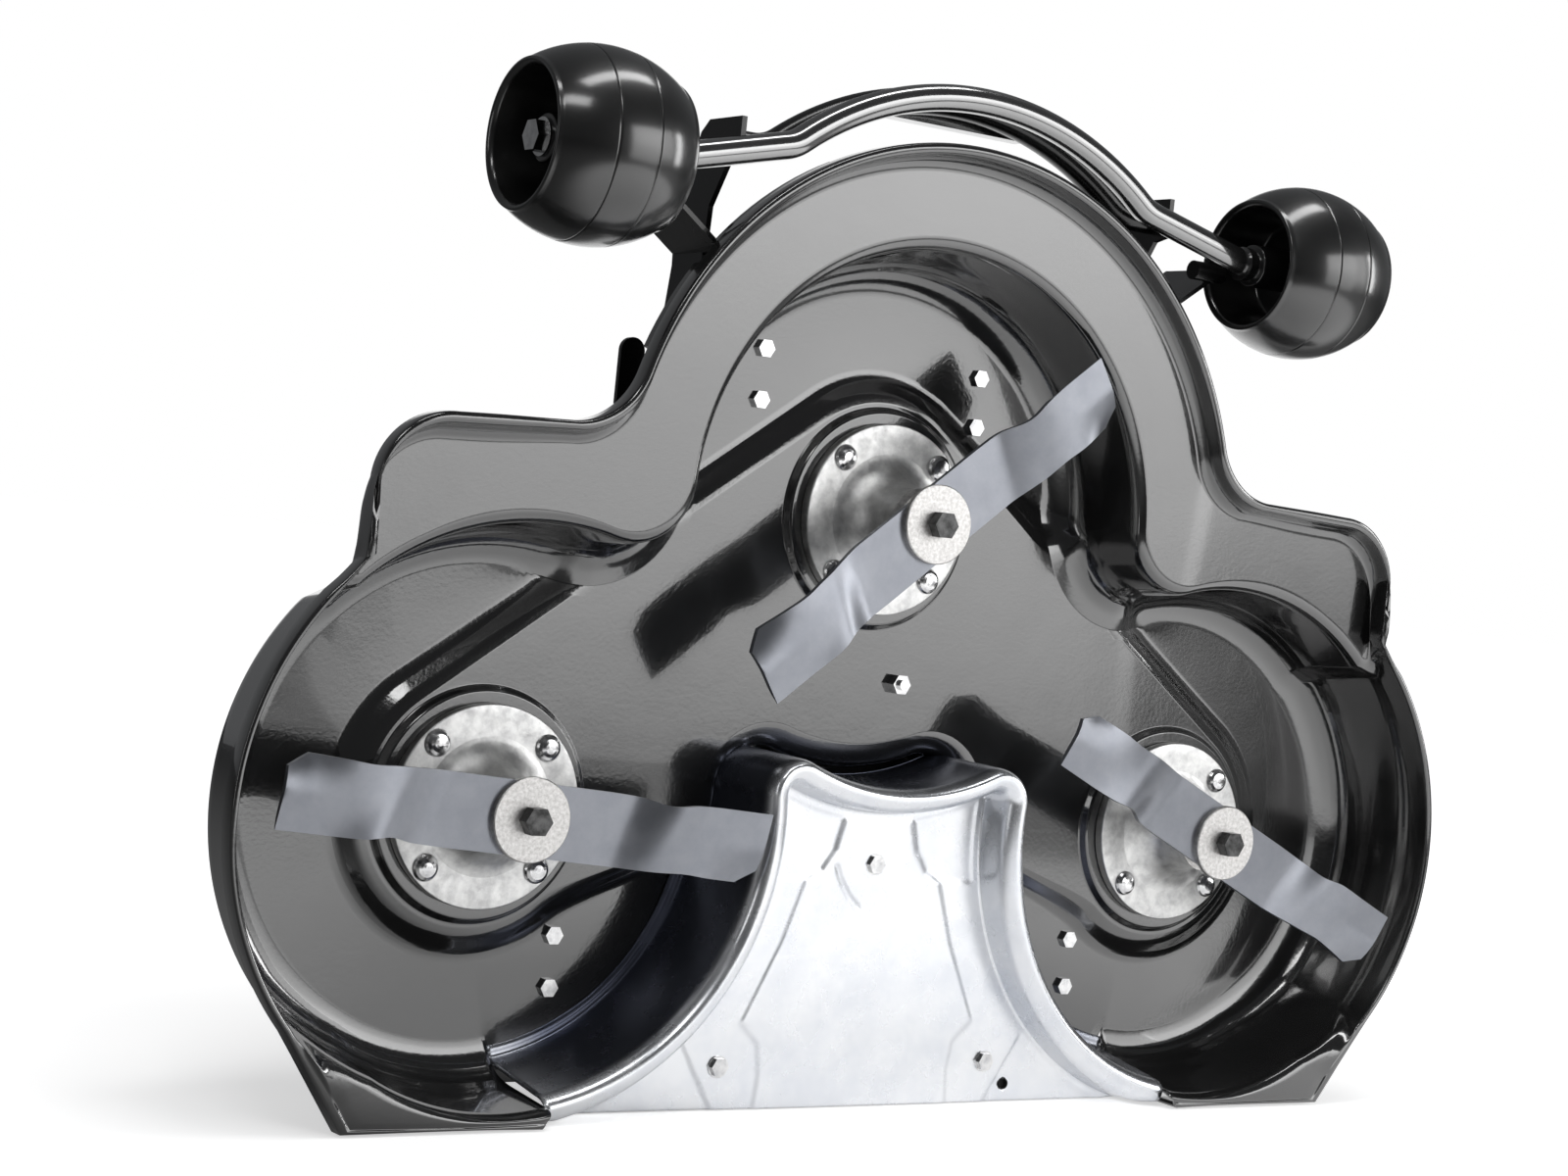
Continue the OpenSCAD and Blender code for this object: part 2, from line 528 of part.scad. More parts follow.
module baffle_sheet() {
  n = 2 * b_cols * b_rows;
  last = b_cols - 1;
  edge = b_rows - 1;
  polyhedron(points = concat(
    [for (j = [0 : last]) for (k = [0 : edge]) b_col(b_form, j, k)],
    [for (j = [0 : last]) for (k = [0 : edge]) b_col(b_back, j, k)],
    [[0, baffle_mid_y, baffle_floor_z], [0, baffle_mid_y, baffle_floor_z - zinc_t]]),
    convexity = 6, faces = concat(
    [for (j = [0 : last - 1]) for (k = [0 : edge - 1])
      [bf(j, k), bf(j, k + 1), bf(j + 1, k + 1), bf(j + 1, k)]],
    [for (j = [0 : last - 1]) for (k = [0 : edge - 1])
      [bb(j, k), bb(j + 1, k), bb(j + 1, k + 1), bb(j, k + 1)]],
    [for (j = [0 : last - 1]) [bf(j, 0), bf(j + 1, 0), bb(j + 1, 0), bb(j, 0)]],
    [for (k = [0 : edge - 1]) [bf(0, k + 1), bf(0, k), bb(0, k), bb(0, k + 1)]],
    [for (k = [0 : edge - 1])
      [bf(last, k), bf(last, k + 1), bb(last, k + 1), bb(last, k)]],
    [for (j = [0 : last - 1]) [bf(j + 1, edge), bf(j, edge), n]],
    [for (j = [0 : last - 1]) [bb(j, edge), bb(j + 1, edge), n + 1]],
    [[bf(0, edge), bf(last, edge), n], [bb(last, edge), bb(0, edge), n + 1],
      [bf(last, edge), bf(0, edge), bb(0, edge), bb(last, edge)]]));
}
module discharge_baffle() {
  color([0.78, 0.8, 0.83]) stand() difference() {
    baffle_sheet();
    baffle_screw_spots() translate([0, 0, baffle_floor_z - 2 * zinc_t])
      cylinder(h = 4 * zinc_t, r = screw_r + fit_gap);
  }
}

/* hex screws and nuts */
screw_af = 15; // size across the flats of the hex screws
head_h = 5; // height of their heads
module hex(af, h) {
  cylinder(h = h, r = af / sqrt(3), $fn = 6);
}
module hex_screw(len) {
  hex(screw_af, head_h);
  translate([0, 0, -len]) cylinder(h = len + over, r = screw_r);
}
washer_flange_r = 10; // radius of a flange screw's skirt
module baffle_screws() {
  color([0.8, 0.8, 0.82]) stand() baffle_screw_spots() translate([0, 0, baffle_floor_z]) {
    cylinder(h = over * 1.5, r = washer_flange_r);
    hex_screw(screw_len);
  }
}

/* spindle housings */
nose_z = 50; // height of the housing's nose
nose_r = 30; // outer radius of the nose
seat_flat_r = 60; // inner edge of the flange's flat ring
housing_top = 50; // how far the body reaches behind the flange face
bearing_in = 2; // how far each bearing sits inside the housing's ends
bore_step = 4; // how much the bore narrows between the bearings
nose_share = [[0, 0], [0.18, 0.04], [0.4, 0.12], [0.62, 0.25], [0.8, 0.42], [0.93, 0.66], [1, 0.9]];
module housing_form() {
  rotate_extrude() polygon(concat(
    [[bearing_r - bore_step, -housing_top + bearing_in + bearing_w],
      [bearing_r, -housing_top + bearing_in + bearing_w],
      [bearing_r, -housing_top], [housing_r, -housing_top], [housing_r, -flange_t],
      [flange_r, -flange_t], [flange_r, -over * 1.5], [flange_r - over * 1.5, 0]],
    [for (p = nose_share) [mix(seat_flat_r, nose_r, p[0]), nose_z * p[1]]],
    [[nose_r, nose_z], [bearing_r, nose_z], [bearing_r, nose_z - bearing_in - bearing_w],
      [bearing_r - bore_step, nose_z - bearing_in - bearing_w]]));
}
module housing(p) {
  color([0.66, 0.66, 0.68]) stand() difference() {
    translate([p.x, p.y, 0]) housing_form();
    translate([p.x, p.y, 0]) flange_bolt_spots() translate([0, 0, -flange_t - over])
      cylinder(h = flange_t + 3 * over, r = flange_bolt_r + fit_gap);
  }
}
module housing_left() { housing(spots[0]); }
module housing_centre() { housing(spots[1]); }
module housing_right() { housing(spots[2]); }

dome_r = 12; // radius of a carriage bolt's head
dome_h = 6; // height of its head
nut_af = 13; // size across the flats of its nut
nut_h = 7; // height of its nut
dome_share = [[1, 0], [0.97, 0.25], [0.85, 0.55], [0.65, 0.79], [0.4, 0.94], [0.2, 0.99]];
module carriage_bolt() {
  rotate_extrude() polygon(concat([[0, 0]],
    [for (p = dome_share) [dome_r * p[0], dome_h * p[1]]], [[0, dome_h]]));
  translate([0, 0, -middle_depth - sheet - nut_h - over])
    cylinder(h = middle_depth + sheet + nut_h + 2 * over, r = flange_bolt_r);
  translate([0, 0, -middle_depth - sheet - nut_h]) hex(nut_af, nut_h);
}
module housing_bolts() {
  color([0.72, 0.72, 0.74]) stand() at_spindles() flange_bolt_spots() carriage_bolt();
}
module bearing_ring(z) {
  translate([0, 0, z]) rotate_extrude() translate([shaft_r + run_gap, 0])
    square([bearing_r - shaft_r - run_gap, bearing_w]);
}
module spindle_bearings() {
  color([0.5, 0.5, 0.52]) stand() at_spindles() {
    bearing_ring(nose_z - bearing_in - bearing_w);
    bearing_ring(-housing_top + bearing_in);
  }
}

/* spindles */
blade_z = 70; // level of the blade's seat on the spindle
collar_gap = 0.4; // running gap between a collar and the housing's nose
collar_r = 31; // radius of the dust collar over the nose
spacer_r = 26; // radius of the spacer that the blade seats on
bolt_r = 6; // radius of the blade bolt's shank
bolt_deep = 30; // how far it reaches into the shaft
shaft_end = stack_top; // far end of the shaft
thread_r = 10; // radius of the shaft's threaded end
top_nut_af = 30; // size across the flats of the pulley's nut
top_nut_h = 10; // height of that nut
hub_z = -stack_top + top_nut_h + over; // far face of the pulley hub
module shaft(p) {
  color([0.42, 0.42, 0.44]) stand() translate([p.x, p.y, 0]) {
    rotate_extrude() polygon([[0, -shaft_end], [thread_r, -shaft_end], [thread_r, hub_z],
      [shaft_r, hub_z], [shaft_r, nose_z - bearing_in + run_gap],
      [shaft_r + bore_step, nose_z - bearing_in + run_gap],
      [shaft_r + bore_step, nose_z + collar_gap], [collar_r, nose_z + collar_gap],
      [collar_r, nose_z + 3 * over], [spacer_r, nose_z + 5 * over],
      [spacer_r, blade_z], [bolt_r, blade_z],
      [bolt_r, blade_z - bolt_deep], [0, blade_z - bolt_deep]]);
    translate([0, 0, hub_z - top_nut_h]) difference() {
      hex(top_nut_af, top_nut_h);
      translate([0, 0, -over]) cylinder(h = top_nut_h + 2 * over, r = thread_r);
    }
  }
}
module shaft_left() { shaft(spots[0]); }
module shaft_centre() { shaft(spots[1]); }
module shaft_right() { shaft(spots[2]); }

// blade: sections from the middle outward, in shares of half its length
blade_x_share = [0, 0.17, 0.26, 0.36, 0.46, 0.6, 0.74, 0.84, 0.93, 1];
blade_drop_share = [0, 0, 0.12, 0.5, 0.85, 1, 1, 1, 1, 1]; // bend toward the ground
blade_skew_share = [0, 0, 0.3, 0.5, 0.35, 0.1, 0, 0, 0, 0]; // twist through the bend
blade_lead_share = [1, 1, 0.96, 0.9, 0.94, 1, 1, 1, 1, 1]; // leading edge, of half the width
blade_trail_share = [1, 1, 1, 0.98, 0.92, 0.9, 0.95, 1, 0.9, 0.45]; // trailing edge
blade_wing_share = [0, 0, 0, 0, 0, 0, 0.15, 0.6, 1, 1]; // lift of the trailing edge
blade_skew = 5; // rise of the twisted part's trailing edge
wing_h = 12; // lift of the wing behind the cutting edge
edge_t = 1; // thickness left at the cutting edge
bevel_w = 12; // width of the sharpened bevel
bevel_start = 5; // section where the sharpened edge starts
function blade_sec(i) = let (x = blade_len / 2 * blade_x_share[i],
  z = blade_z + blade_drop * blade_drop_share[i],
  l = blade_w / 2 * blade_lead_share[i], t = blade_w / 2 * blade_trail_share[i],
  w = wing_h * blade_wing_share[i] + blade_skew * blade_skew_share[i],
  e = i >= bevel_start ? edge_t : blade_t)
  [[x, l, z + blade_t - e], [x, l - bevel_w, z], [x, 0, z], [x, bevel_w - t, z - w / 2], [x, -t, z - w],
    [x, -t, z - w + blade_t], [x, bevel_w - t, z - w / 2 + blade_t], [x, 0, z + blade_t],
    [x, l - bevel_w, z + blade_t], [x, l, z + blade_t]];
blade_n = len(blade_x_share) - 1;
// the far half is the near one turned half round, with its points in the same order
function turned(p, m) = [for (k = [0 : m - 1])
  let (q = p[k < m / 2 ? m / 2 - 1 - k : m / 2 + m - 1 - k]) [-q.x, -q.y, q.z]];
blade_secs = [for (i = [-blade_n : blade_n])
  i < 0 ? turned(blade_sec(-i), len(blade_sec(0))) : blade_sec(i)];
module blade_form() {
  m = len(blade_secs[0]);
  polyhedron(points = [for (c = blade_secs) for (p = c) p], convexity = 4, faces = concat(
    [for (k = [0 : m / 2 - 2]) [m - 1 - k, m - 2 - k, k + 1, k]],
    [for (k = [0 : m / 2 - 2]) [for (v = [k, k + 1, m - 2 - k, m - 1 - k]) 2 * blade_n * m + v]],
    [for (i = [0 : 2 * blade_n - 1]) for (k = [0 : m - 1]) let (n = (k + 1) % m)
      [i * m + k, i * m + n, i * m + m + n]],
    [for (i = [0 : 2 * blade_n - 1]) for (k = [0 : m - 1]) let (n = (k + 1) % m)
      [i * m + k, i * m + m + n, i * m + m + k]]));
}
module blade(p, a) {
  color([0.45, 0.48, 0.55]) stand() translate([p.x, p.y, 0]) rotate([0, 0, a]) difference() {
    blade_form();
    translate([0, 0, blade_z - blade_t]) cylinder(h = 3 * blade_t, r = bolt_r + run_gap);
  }
}
blade_angle = [-4.6, 39, -25]; // rest angles of the left, centre and right blades
module blade_left() { blade(spots[0], blade_angle[0]); }
module blade_centre() { blade(spots[1], blade_angle[1]); }
module blade_right() { blade(spots[2], blade_angle[2]); }

washer_t = 6; // thickness of the washer under the bolt
bolt_head_h = 12; // height of the blade bolt's head
module blade_washer(p) {
  color([0.6, 0.58, 0.55]) stand() translate([p.x, p.y, blade_z + blade_t])
    rotate_extrude() polygon([[bolt_r + run_gap, 0], [washer_r, 0],
      [washer_r, washer_t - over], [washer_r - over, washer_t], [bolt_r + run_gap, washer_t]]);
}
module blade_bolt(p) {
  color([0.12, 0.12, 0.12]) stand() translate([p.x, p.y, blade_z + blade_t + washer_t]) {
    hex(bolt_af, bolt_head_h);
    translate([0, 0, -washer_t - blade_t - bolt_deep + over])
      cylinder(h = washer_t + blade_t + bolt_deep, r = bolt_r);
  }
}
module blade_washers_left() { blade_washer(spots[0]); }
module blade_washers_centre() { blade_washer(spots[1]); }
module blade_washers_right() { blade_washer(spots[2]); }
module blade_bolt_left() { blade_bolt(spots[0]); }
module blade_bolt_centre() { blade_bolt(spots[1]); }
module blade_bolt_right() { blade_bolt(spots[2]); }

/* belt drive on the far side */
groove_deep = 14; // depth of each belt groove
groove_half = belt_w / 2 - over; // half width of a groove at its bottom
groove_lean = 4; // how much wider each side of the groove is at the rim
rim_wall = 3; // thickness of a pulley's rim flanges
hub_r = 22; // radius of a pulley's hub
web_t = 5; // thickness of a pulley's web
hub_gap = 0.6; // gap between a pulley's hub and the bearing
drive_up = 20; // how far the centre pulley's drive groove lies nearer the deck
function groove(r, z) = [[r + groove_deep, z + groove_half + groove_lean],
  [r, z + groove_half], [r, z - groove_half], [r + groove_deep, z - groove_half - groove_lean]];
rim_half = groove_half + groove_lean + rim_wall; // half width of a single rim
module pulley_rim(r, z) {
  rotate_extrude() polygon(concat([[r - rim_wall, z + rim_half], [r + groove_deep, z + rim_half]],
    groove(r, z), [[r + groove_deep, z - rim_half], [r - rim_wall, z - rim_half]]));
}
module pulley(p, double) {
  hub_top = -housing_top + bearing_in - hub_gap;
  color([0.3, 0.31, 0.33]) stand() translate([p.x, p.y, 0]) {
    pulley_rim(pulley_r, -belt_depth);
    if (double) pulley_rim(pulley_r, -belt_depth + drive_up);
    translate([0, 0, hub_z]) rotate_extrude() translate([shaft_r, 0])
      square([hub_r - shaft_r, hub_top - hub_z]);
    translate([0, 0, -belt_depth - web_t / 2]) rotate_extrude() translate([hub_r - over, 0])
      square([pulley_r - rim_wall / 2 - hub_r + over, web_t]);
  }
}
module pulley_left() { pulley(spots[0], false); }
module pulley_centre() { pulley(spots[1], true); }
module pulley_right() { pulley(spots[2], false); }

// closed belt: round the three pulleys, its back over the idler
ride_r = pulley_r + 5; // radius of the belt's inner face on the pulleys
idler_gap = 0.4; // gap between the belt's back and the idler
idler_in = idler_r + belt_t + idler_gap; // radius of the same face past the idler
belt_step = 6; // angle between two points of the belt's arcs
function arc_pts(c, r, a0, a1) = let (n = max(1, ceil(abs(a1 - a0) / belt_step)))
  [for (i = [0 : n]) polar(c, r, mix(a0, a1, i / n))];
// angle from an outer spindle to its tangent point toward the idler
function tangent_a(c, side) = let (d = idler_at - c)
  bearing_of(d) + side * acos((ride_r + idler_in) / norm(d));
t_r = tangent_a(rr, 1);
t_l = tangent_a(-rr, -1);
a_out = bearing_of(across);
function belt_line(off) = concat(
  arc_pts(cc, ride_r + off, 180 - a_out, a_out),
  arc_pts(rr, ride_r + off, a_out, t_r - 360),
  arc_pts(idler_at, idler_in - off, t_r - 180, t_l + 180),
  arc_pts(-rr, ride_r + off, t_l, -180 - a_out));
module deck_belt() {
  color([0.06, 0.06, 0.06]) stand() translate([0, 0, -belt_depth - belt_w / 2])
    linear_extrude(belt_w) difference() {
      polygon(belt_line(belt_t));
      polygon(belt_line(0));
    }
}

/* idler */
idler_h = 18; // width of the idler's rim
idler_hub_r = 12; // radius of its hub
idler_flange = 3; // height of its rim flanges
idler_end_gap = 0.4; // end gap between the idler and its spacer
nyloc_af = 17; // size across the flats of the nut inside the deck
nyloc_h = 10; // height of that nut
stud_out = 4; // how far the stud shows past the nut
module idler_pulley() {
  w = idler_h / 2;
  color([0.35, 0.36, 0.38]) stand() translate([idler_at.x, idler_at.y, -belt_depth])
    rotate_extrude() polygon([[idler_bolt_r + run_gap, -w], [idler_hub_r, -w],
      [idler_hub_r, -web_t], [idler_r - rim_wall, -web_t], [idler_r - rim_wall, -w],
      [idler_r + idler_flange, -w], [idler_r + idler_flange, -w + over], [idler_r, -w + 2 * over],
      [idler_r, w - 2 * over], [idler_r + idler_flange, w - over], [idler_r + idler_flange, w],
      [idler_r - rim_wall, w], [idler_r - rim_wall, web_t], [idler_hub_r, web_t],
      [idler_hub_r, w], [idler_bolt_r + run_gap, w]]);
}
idler_base = [44, 34]; // size of the idler bracket's foot
module idler_bracket() {
  z0 = -middle_depth - sheet;
  top = -belt_depth + idler_h / 2 + idler_end_gap;
  color([0.1, 0.1, 0.11]) stand() translate([idler_at.x, idler_at.y, 0]) difference() {
    union() {
      translate([-idler_base.x / 2, -idler_base.y / 2, z0 - web_t])
        cube([idler_base.x, idler_base.y, web_t]);
      translate([0, 0, top]) cylinder(h = z0 - top - over, r = idler_hub_r - over);
    }
    translate([0, 0, top - over]) cylinder(h = z0 - top + 2 * over, r = idler_bolt_r);
  }
}
module idler_bolt() {
  far = -belt_depth - idler_h / 2 - idler_end_gap;
  color([0.75, 0.75, 0.77]) stand() translate([idler_at.x, idler_at.y, 0]) {
    translate([0, 0, far - head_h]) hex(nyloc_af, head_h);
    translate([0, 0, far - over]) cylinder(h = nyloc_h + stud_out - middle_depth - far + over,
      r = idler_bolt_r);
    translate([0, 0, -middle_depth]) hex(nyloc_af, nyloc_h);
  }
}

/* gauge wheels and the front bar */
hub_len_in = 59.7; // from the wheel's middle to its inner hub face
hub_len_out = 44; // from the wheel's middle to its outer hub face
wheel_hub_r = 20; // radius of the wheel's hub
wheel_end_r = 63; // outer radius at the wheel's ends
wheel_mouth_r = 57; // radius of the recess at each end
wheel_root_r = 50; // radius of the recess at its bottom
wheel_web_half = 6; // half thickness of the wall between the recesses
wheel_edge = 4; // rounding of the wheel's ends
wheel_steps = 10;
barrel_r = (pow(wheel_w / 2 - wheel_edge, 2) + pow(wheel_r - wheel_end_r, 2))
  / (2 * (wheel_r - wheel_end_r));
module wheel_form() {
  h = wheel_w / 2;
  e = h - wheel_edge;
  rotate_extrude($fn = 96) polygon(concat(
    [[axle_r + run_gap, -hub_len_in], [wheel_hub_r, -hub_len_in],
      [wheel_hub_r, -wheel_web_half], [wheel_root_r, -wheel_web_half],
      [wheel_mouth_r, -h]],
    [[wheel_end_r - wheel_edge / 2, -h]],
    [for (i = [-wheel_steps : wheel_steps]) let (y = e * i / wheel_steps)
      [wheel_r - barrel_r + sqrt(pow(barrel_r, 2) - pow(y, 2)), y]],
    [[wheel_end_r - wheel_edge / 2, h], [wheel_mouth_r, h], [wheel_root_r, wheel_web_half],
      [wheel_hub_r, wheel_web_half], [wheel_hub_r, hub_len_out], [axle_r + run_gap, hub_len_out]]));
}
// s = -1 for the left side, 1 for the right; the wheel's own axis points outward
module at_wheel(s) {
  translate([s * wheel_side, axle_y, wheel_z]) rotate([0, s * 90, 0]) children();
}
module wheel_left() { color([0.04, 0.04, 0.045]) stand() at_wheel(-1) wheel_form(); }
module wheel_right() { color([0.04, 0.04, 0.045]) stand() at_wheel(1) wheel_form(); }
axle_washer_r = 16; // radius of the washer on each axle
axle_washer_t = 3; // thickness of that washer
axle_af = 24; // size across the flats of the axle's head
axle_head_h = 10; // height of the axle's head
module axle_form() {
  in_end = -hub_len_in - work_gap;
  out_end = hub_len_out + work_gap;
  translate([0, 0, in_end]) cylinder(h = out_end - in_end + over, r = axle_r);
  translate([0, 0, out_end]) cylinder(h = axle_washer_t, r = axle_washer_r);
  translate([0, 0, out_end + axle_washer_t - over / 2]) hex(axle_af, axle_head_h);
}
module axle_left() { color([0.7, 0.7, 0.72]) stand() at_wheel(-1) axle_form(); }
module axle_right() { color([0.7, 0.7, 0.72]) stand() at_wheel(1) axle_form(); }

arch_in = 19; // how much smaller the front bar's arch is than the rim's front arc
arch_out = 45; // how far its highest point lies ahead of the rim
arch_r = front_rim_r - arch_in;
arch_top = rim_front + arch_out;
arch_half = 37; // half the arch's angle
bend_r = 45; // radius of the bends at the arch's feet
boss_l = 12; // length of the boss that carries each axle
boss_r = 16; // radius of that boss
boss_x = wheel_side - hub_len_in - work_gap; // outer face of the boss
arch_c = [0, arch_top - arch_r];
bar_end = [boss_x - boss_l / 2, axle_y];
bend_c = polar(arch_c, arch_r + bend_r, 90 - arch_half);
bend_d = bar_end - bend_c;
bend_a = bearing_of(bend_d) - acos(bend_r / norm(bend_d));
bend_p = polar(bend_c, bend_r, bend_a);
module arc_tube(c, r, a0, a1) {
  translate([c.x, c.y, 0]) rotate([0, 0, a0])
    rotate_extrude(angle = a1 - a0, $fn = 128) translate([r, 0]) circle(r = bar_r, $fn = 32);
}
module line_tube(p, q) {
  d = q - p;
  translate([p.x, p.y, 0]) rotate([0, 90, bearing_of(d)]) cylinder(h = norm(d), r = bar_r, $fn = 32);
}
module bar_half() {
  arc_tube(bend_c, bend_r, -90 - arch_half, bend_a);
  line_tube(bend_p, bar_end);
  translate([boss_x - boss_l, axle_y, 0]) rotate([0, 90, 0])
    cylinder(h = boss_l, r = boss_r);
}
module front_bar() {
  color([0.09, 0.09, 0.1]) stand() translate([0, 0, wheel_z])
    arc_tube(arch_c, arch_r, 90 - arch_half, 90 + arch_half);
}
module bar_end_right() {
  color([0.09, 0.09, 0.1]) stand() translate([0, 0, wheel_z]) bar_half();
}
module bar_end_left() {
  color([0.09, 0.09, 0.1]) stand() translate([0, 0, wheel_z]) mirror([1, 0, 0]) bar_half();
}
plate_t = 5; // thickness of the bracket plates
plate_x = 236; // inner face of each bracket plate
arch_gap = 42; // how far the second arch lies behind the front bar
second_half = 36.5; // half its angle
second_c = polar(arch_c, arch_r + bend_r, 90 - second_half);
module rear_arch() {
  color([0.09, 0.09, 0.1]) stand() translate([0, 0, wheel_z - arch_gap])
    arc_tube(arch_c, arch_r, 90 - second_half, 90 + second_half);
}
// bracket plate in its own plane: place ahead of the outer spindles, level
plate_ahead = 76; // how far ahead of the centre spindle its foot meets the chamber wall
plate_in = 5; // how far its front edge lies behind the front of the rim
plate_back = spindle_ahead + plate_ahead;
plate_front = rim_front - plate_in;
plate_low = -66; // its lowest level
shelf_back = shelf_z - sheet; // far face of the shelf
plate_top = wheel_z - bar_r - work_gap / 2; // where the bar rests on it
function along_plate(t) = mix(plate_back, plate_front, t);
plate_outline = [[plate_front, plate_top - 2 * over], [plate_front, plate_top * 0.25],
  [plate_front - 2 * plate_t, plate_top * 0.08], [along_plate(0.65), plate_low * 0.37],
  [along_plate(0.5), plate_low * 0.33], [along_plate(0.36), plate_low * 0.41],
  [along_plate(0.21), plate_low * 0.67], [plate_back + over, plate_low],
  [plate_back, plate_low * 0.8], [plate_back, shelf_back * 0.7],
  [plate_back + 4 * plate_t, shelf_back], [plate_back + 14 * plate_t, shelf_back],
  [along_plate(0.37), plate_top * 0.4], [along_plate(0.5), plate_top * 0.37],
  [along_plate(0.7), plate_top * 0.41], [plate_front - 8 * plate_t, plate_top * 0.72],
  [plate_front - 7 * plate_t, plate_top], [plate_front - 5 * plate_t, plate_top],
  [plate_front - 4 * plate_t, plate_top - 2 * over]];
brace_run = 67; // how far behind the axle the brace leaves the bracket plate
brace_back = axle_y - brace_run;
brace_low = -22; // lower edge of the brace
brace_high = 60; // its upper edge
stub_r = 9; // radius of the stub beside the wheel
tab_w = 24; // width of the rounded tab at the plate's foot
tab_len = 48; // its length up to its round end
tab_z = -62; // its level
module bracket() {
  translate([0, 0, wheel_z - arch_gap]) {
    arc_tube(second_c, bend_r, -90 - second_half, -90);
    line_tube(second_c - [0, bend_r], [plate_x - work_gap / 2, second_c.y - bend_r]);
  }
  translate([plate_x, 0, 0]) rotate([90, 0, 90]) linear_extrude(plate_t) polygon(plate_outline);
  translate([0, 0, brace_low]) linear_extrude(brace_high - brace_low) polygon([
    [plate_x + plate_t / 2, brace_back], [boss_x - boss_l, axle_y - 2 * plate_t],
    [boss_x - boss_l, axle_y - plate_t], [plate_x + plate_t / 2, brace_back + plate_t]]);
  translate([boss_x - 4 * boss_l, axle_y - 2 * plate_t, brace_high - over]) rotate([0, 90, 0])
    cylinder(h = 3 * boss_l, r = stub_r);
  translate([plate_x + plate_t / 2, plate_back + over, tab_z]) {
    cube([tab_w, tab_len, plate_t]);
    translate([tab_w / 2, tab_len, 0]) cylinder(h = plate_t, r = tab_w / 2);
  }
}
module bar_bracket_left() { color([0.08, 0.08, 0.09]) stand() mirror([1, 0, 0]) bracket(); }
module bar_bracket_right() { color([0.08, 0.08, 0.09]) stand() bracket(); }

/* hangers on the far side of the sheet */
ring_back = -ring_depth - sheet; // far face of the chamber floor's ring
lug_t = 5; // thickness of the hangers' plates
lug_w = 34; // width of their feet
lug_len = 86; // length of their feet
lug_h = 55; // height of their upright lugs
lug_r = 16; // radius of each lug's round end
pin_r = 6; // radius of the hole for the lift link's pin
module hanger() {
  difference() {
    union() {
      translate([-lug_w / 2, -lug_len / 2, ring_back - lug_t]) cube([lug_w, lug_len, lug_t]);
      translate([-lug_w / 2, -lug_r, ring_back - lug_h + lug_r])
        cube([lug_t, 2 * lug_r, lug_h - lug_r - over]);
      translate([-lug_w / 2, 0, ring_back - lug_h + lug_r]) rotate([0, 90, 0])
        cylinder(h = lug_t, r = lug_r);
    }
    translate([-lug_w / 2 - over, 0, ring_back - lug_h + lug_r]) rotate([0, 90, 0])
      cylinder(h = lug_t + 2 * over, r = pin_r);
    for (j = [-1, 1]) translate([0, j * hanger_pitch / 2, ring_back - lug_t - over])
      cylinder(h = lug_t + 2 * over, r = screw_r + fit_gap);
  }
}
side_x = spindle_side - hanger_side_in;
side_y = -hanger_side_back - hanger_pitch / 2;
module hanger_front() {
  color([0.1, 0.1, 0.11]) stand() for (x = hanger_front_x)
    translate([x, hanger_front_y + hanger_pitch / 2, 0]) hanger();
}
module hanger_left() {
  color([0.1, 0.1, 0.11]) stand() mirror([1, 0, 0]) translate([side_x, side_y, 0]) hanger();
}
module hanger_right() {
  color([0.1, 0.1, 0.11]) stand() translate([side_x, side_y, 0]) hanger();
}
strap_x = 91; // half length of the strap welded under the second arch
strap_w = 10; // its width
strap_deep = 18; // its depth
module bar_strap() {
  top = wheel_z - arch_gap - bar_r - work_gap / 2;
  y = arch_c.y + sqrt(pow(arch_r, 2) - pow(strap_x, 2));
  color([0.1, 0.1, 0.11]) stand() translate([-strap_x, y - strap_w / 2, top - strap_deep])
    cube([2 * strap_x, strap_w, strap_deep]);
}
module through_screw(grip) {
  hex_screw(grip + nut_h);
  translate([0, 0, -grip - nut_h]) hex(nut_af, nut_h);
}
module hanger_screws() {
  color([0.8, 0.8, 0.82]) stand() translate([0, 0, -ring_depth]) {
    front_screw_spots() through_screw(sheet + lug_t);
    side_screw_spots(1) through_screw(sheet + lug_t);
    side_screw_spots(-1) through_screw(sheet + lug_t);
  }
}

deck_shell();
front_reinforcement();
discharge_hood();
discharge_baffle();
baffle_screws();
housing_left();
housing_centre();
housing_right();
housing_bolts();
spindle_bearings();
shaft_left();
shaft_centre();
shaft_right();
blade_left();
blade_centre();
blade_right();
blade_washers_left();
blade_washers_centre();
blade_washers_right();
blade_bolt_left();
blade_bolt_centre();
blade_bolt_right();
pulley_left();
pulley_centre();
pulley_right();
deck_belt();
idler_pulley();
idler_bracket();
idler_bolt();
front_bar();
bar_end_left();
bar_end_right();
rear_arch();
bar_bracket_left();
bar_bracket_right();
bar_strap();
wheel_left();
wheel_right();
axle_left();
axle_right();
hanger_front();
hanger_left();
hanger_right();
hanger_screws();
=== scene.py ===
import bpy, bmesh, json, math
from itertools import accumulate
from mathutils import Vector, Matrix
from mathutils.geometry import delaunay_2d_cdt, tessellate_polygon


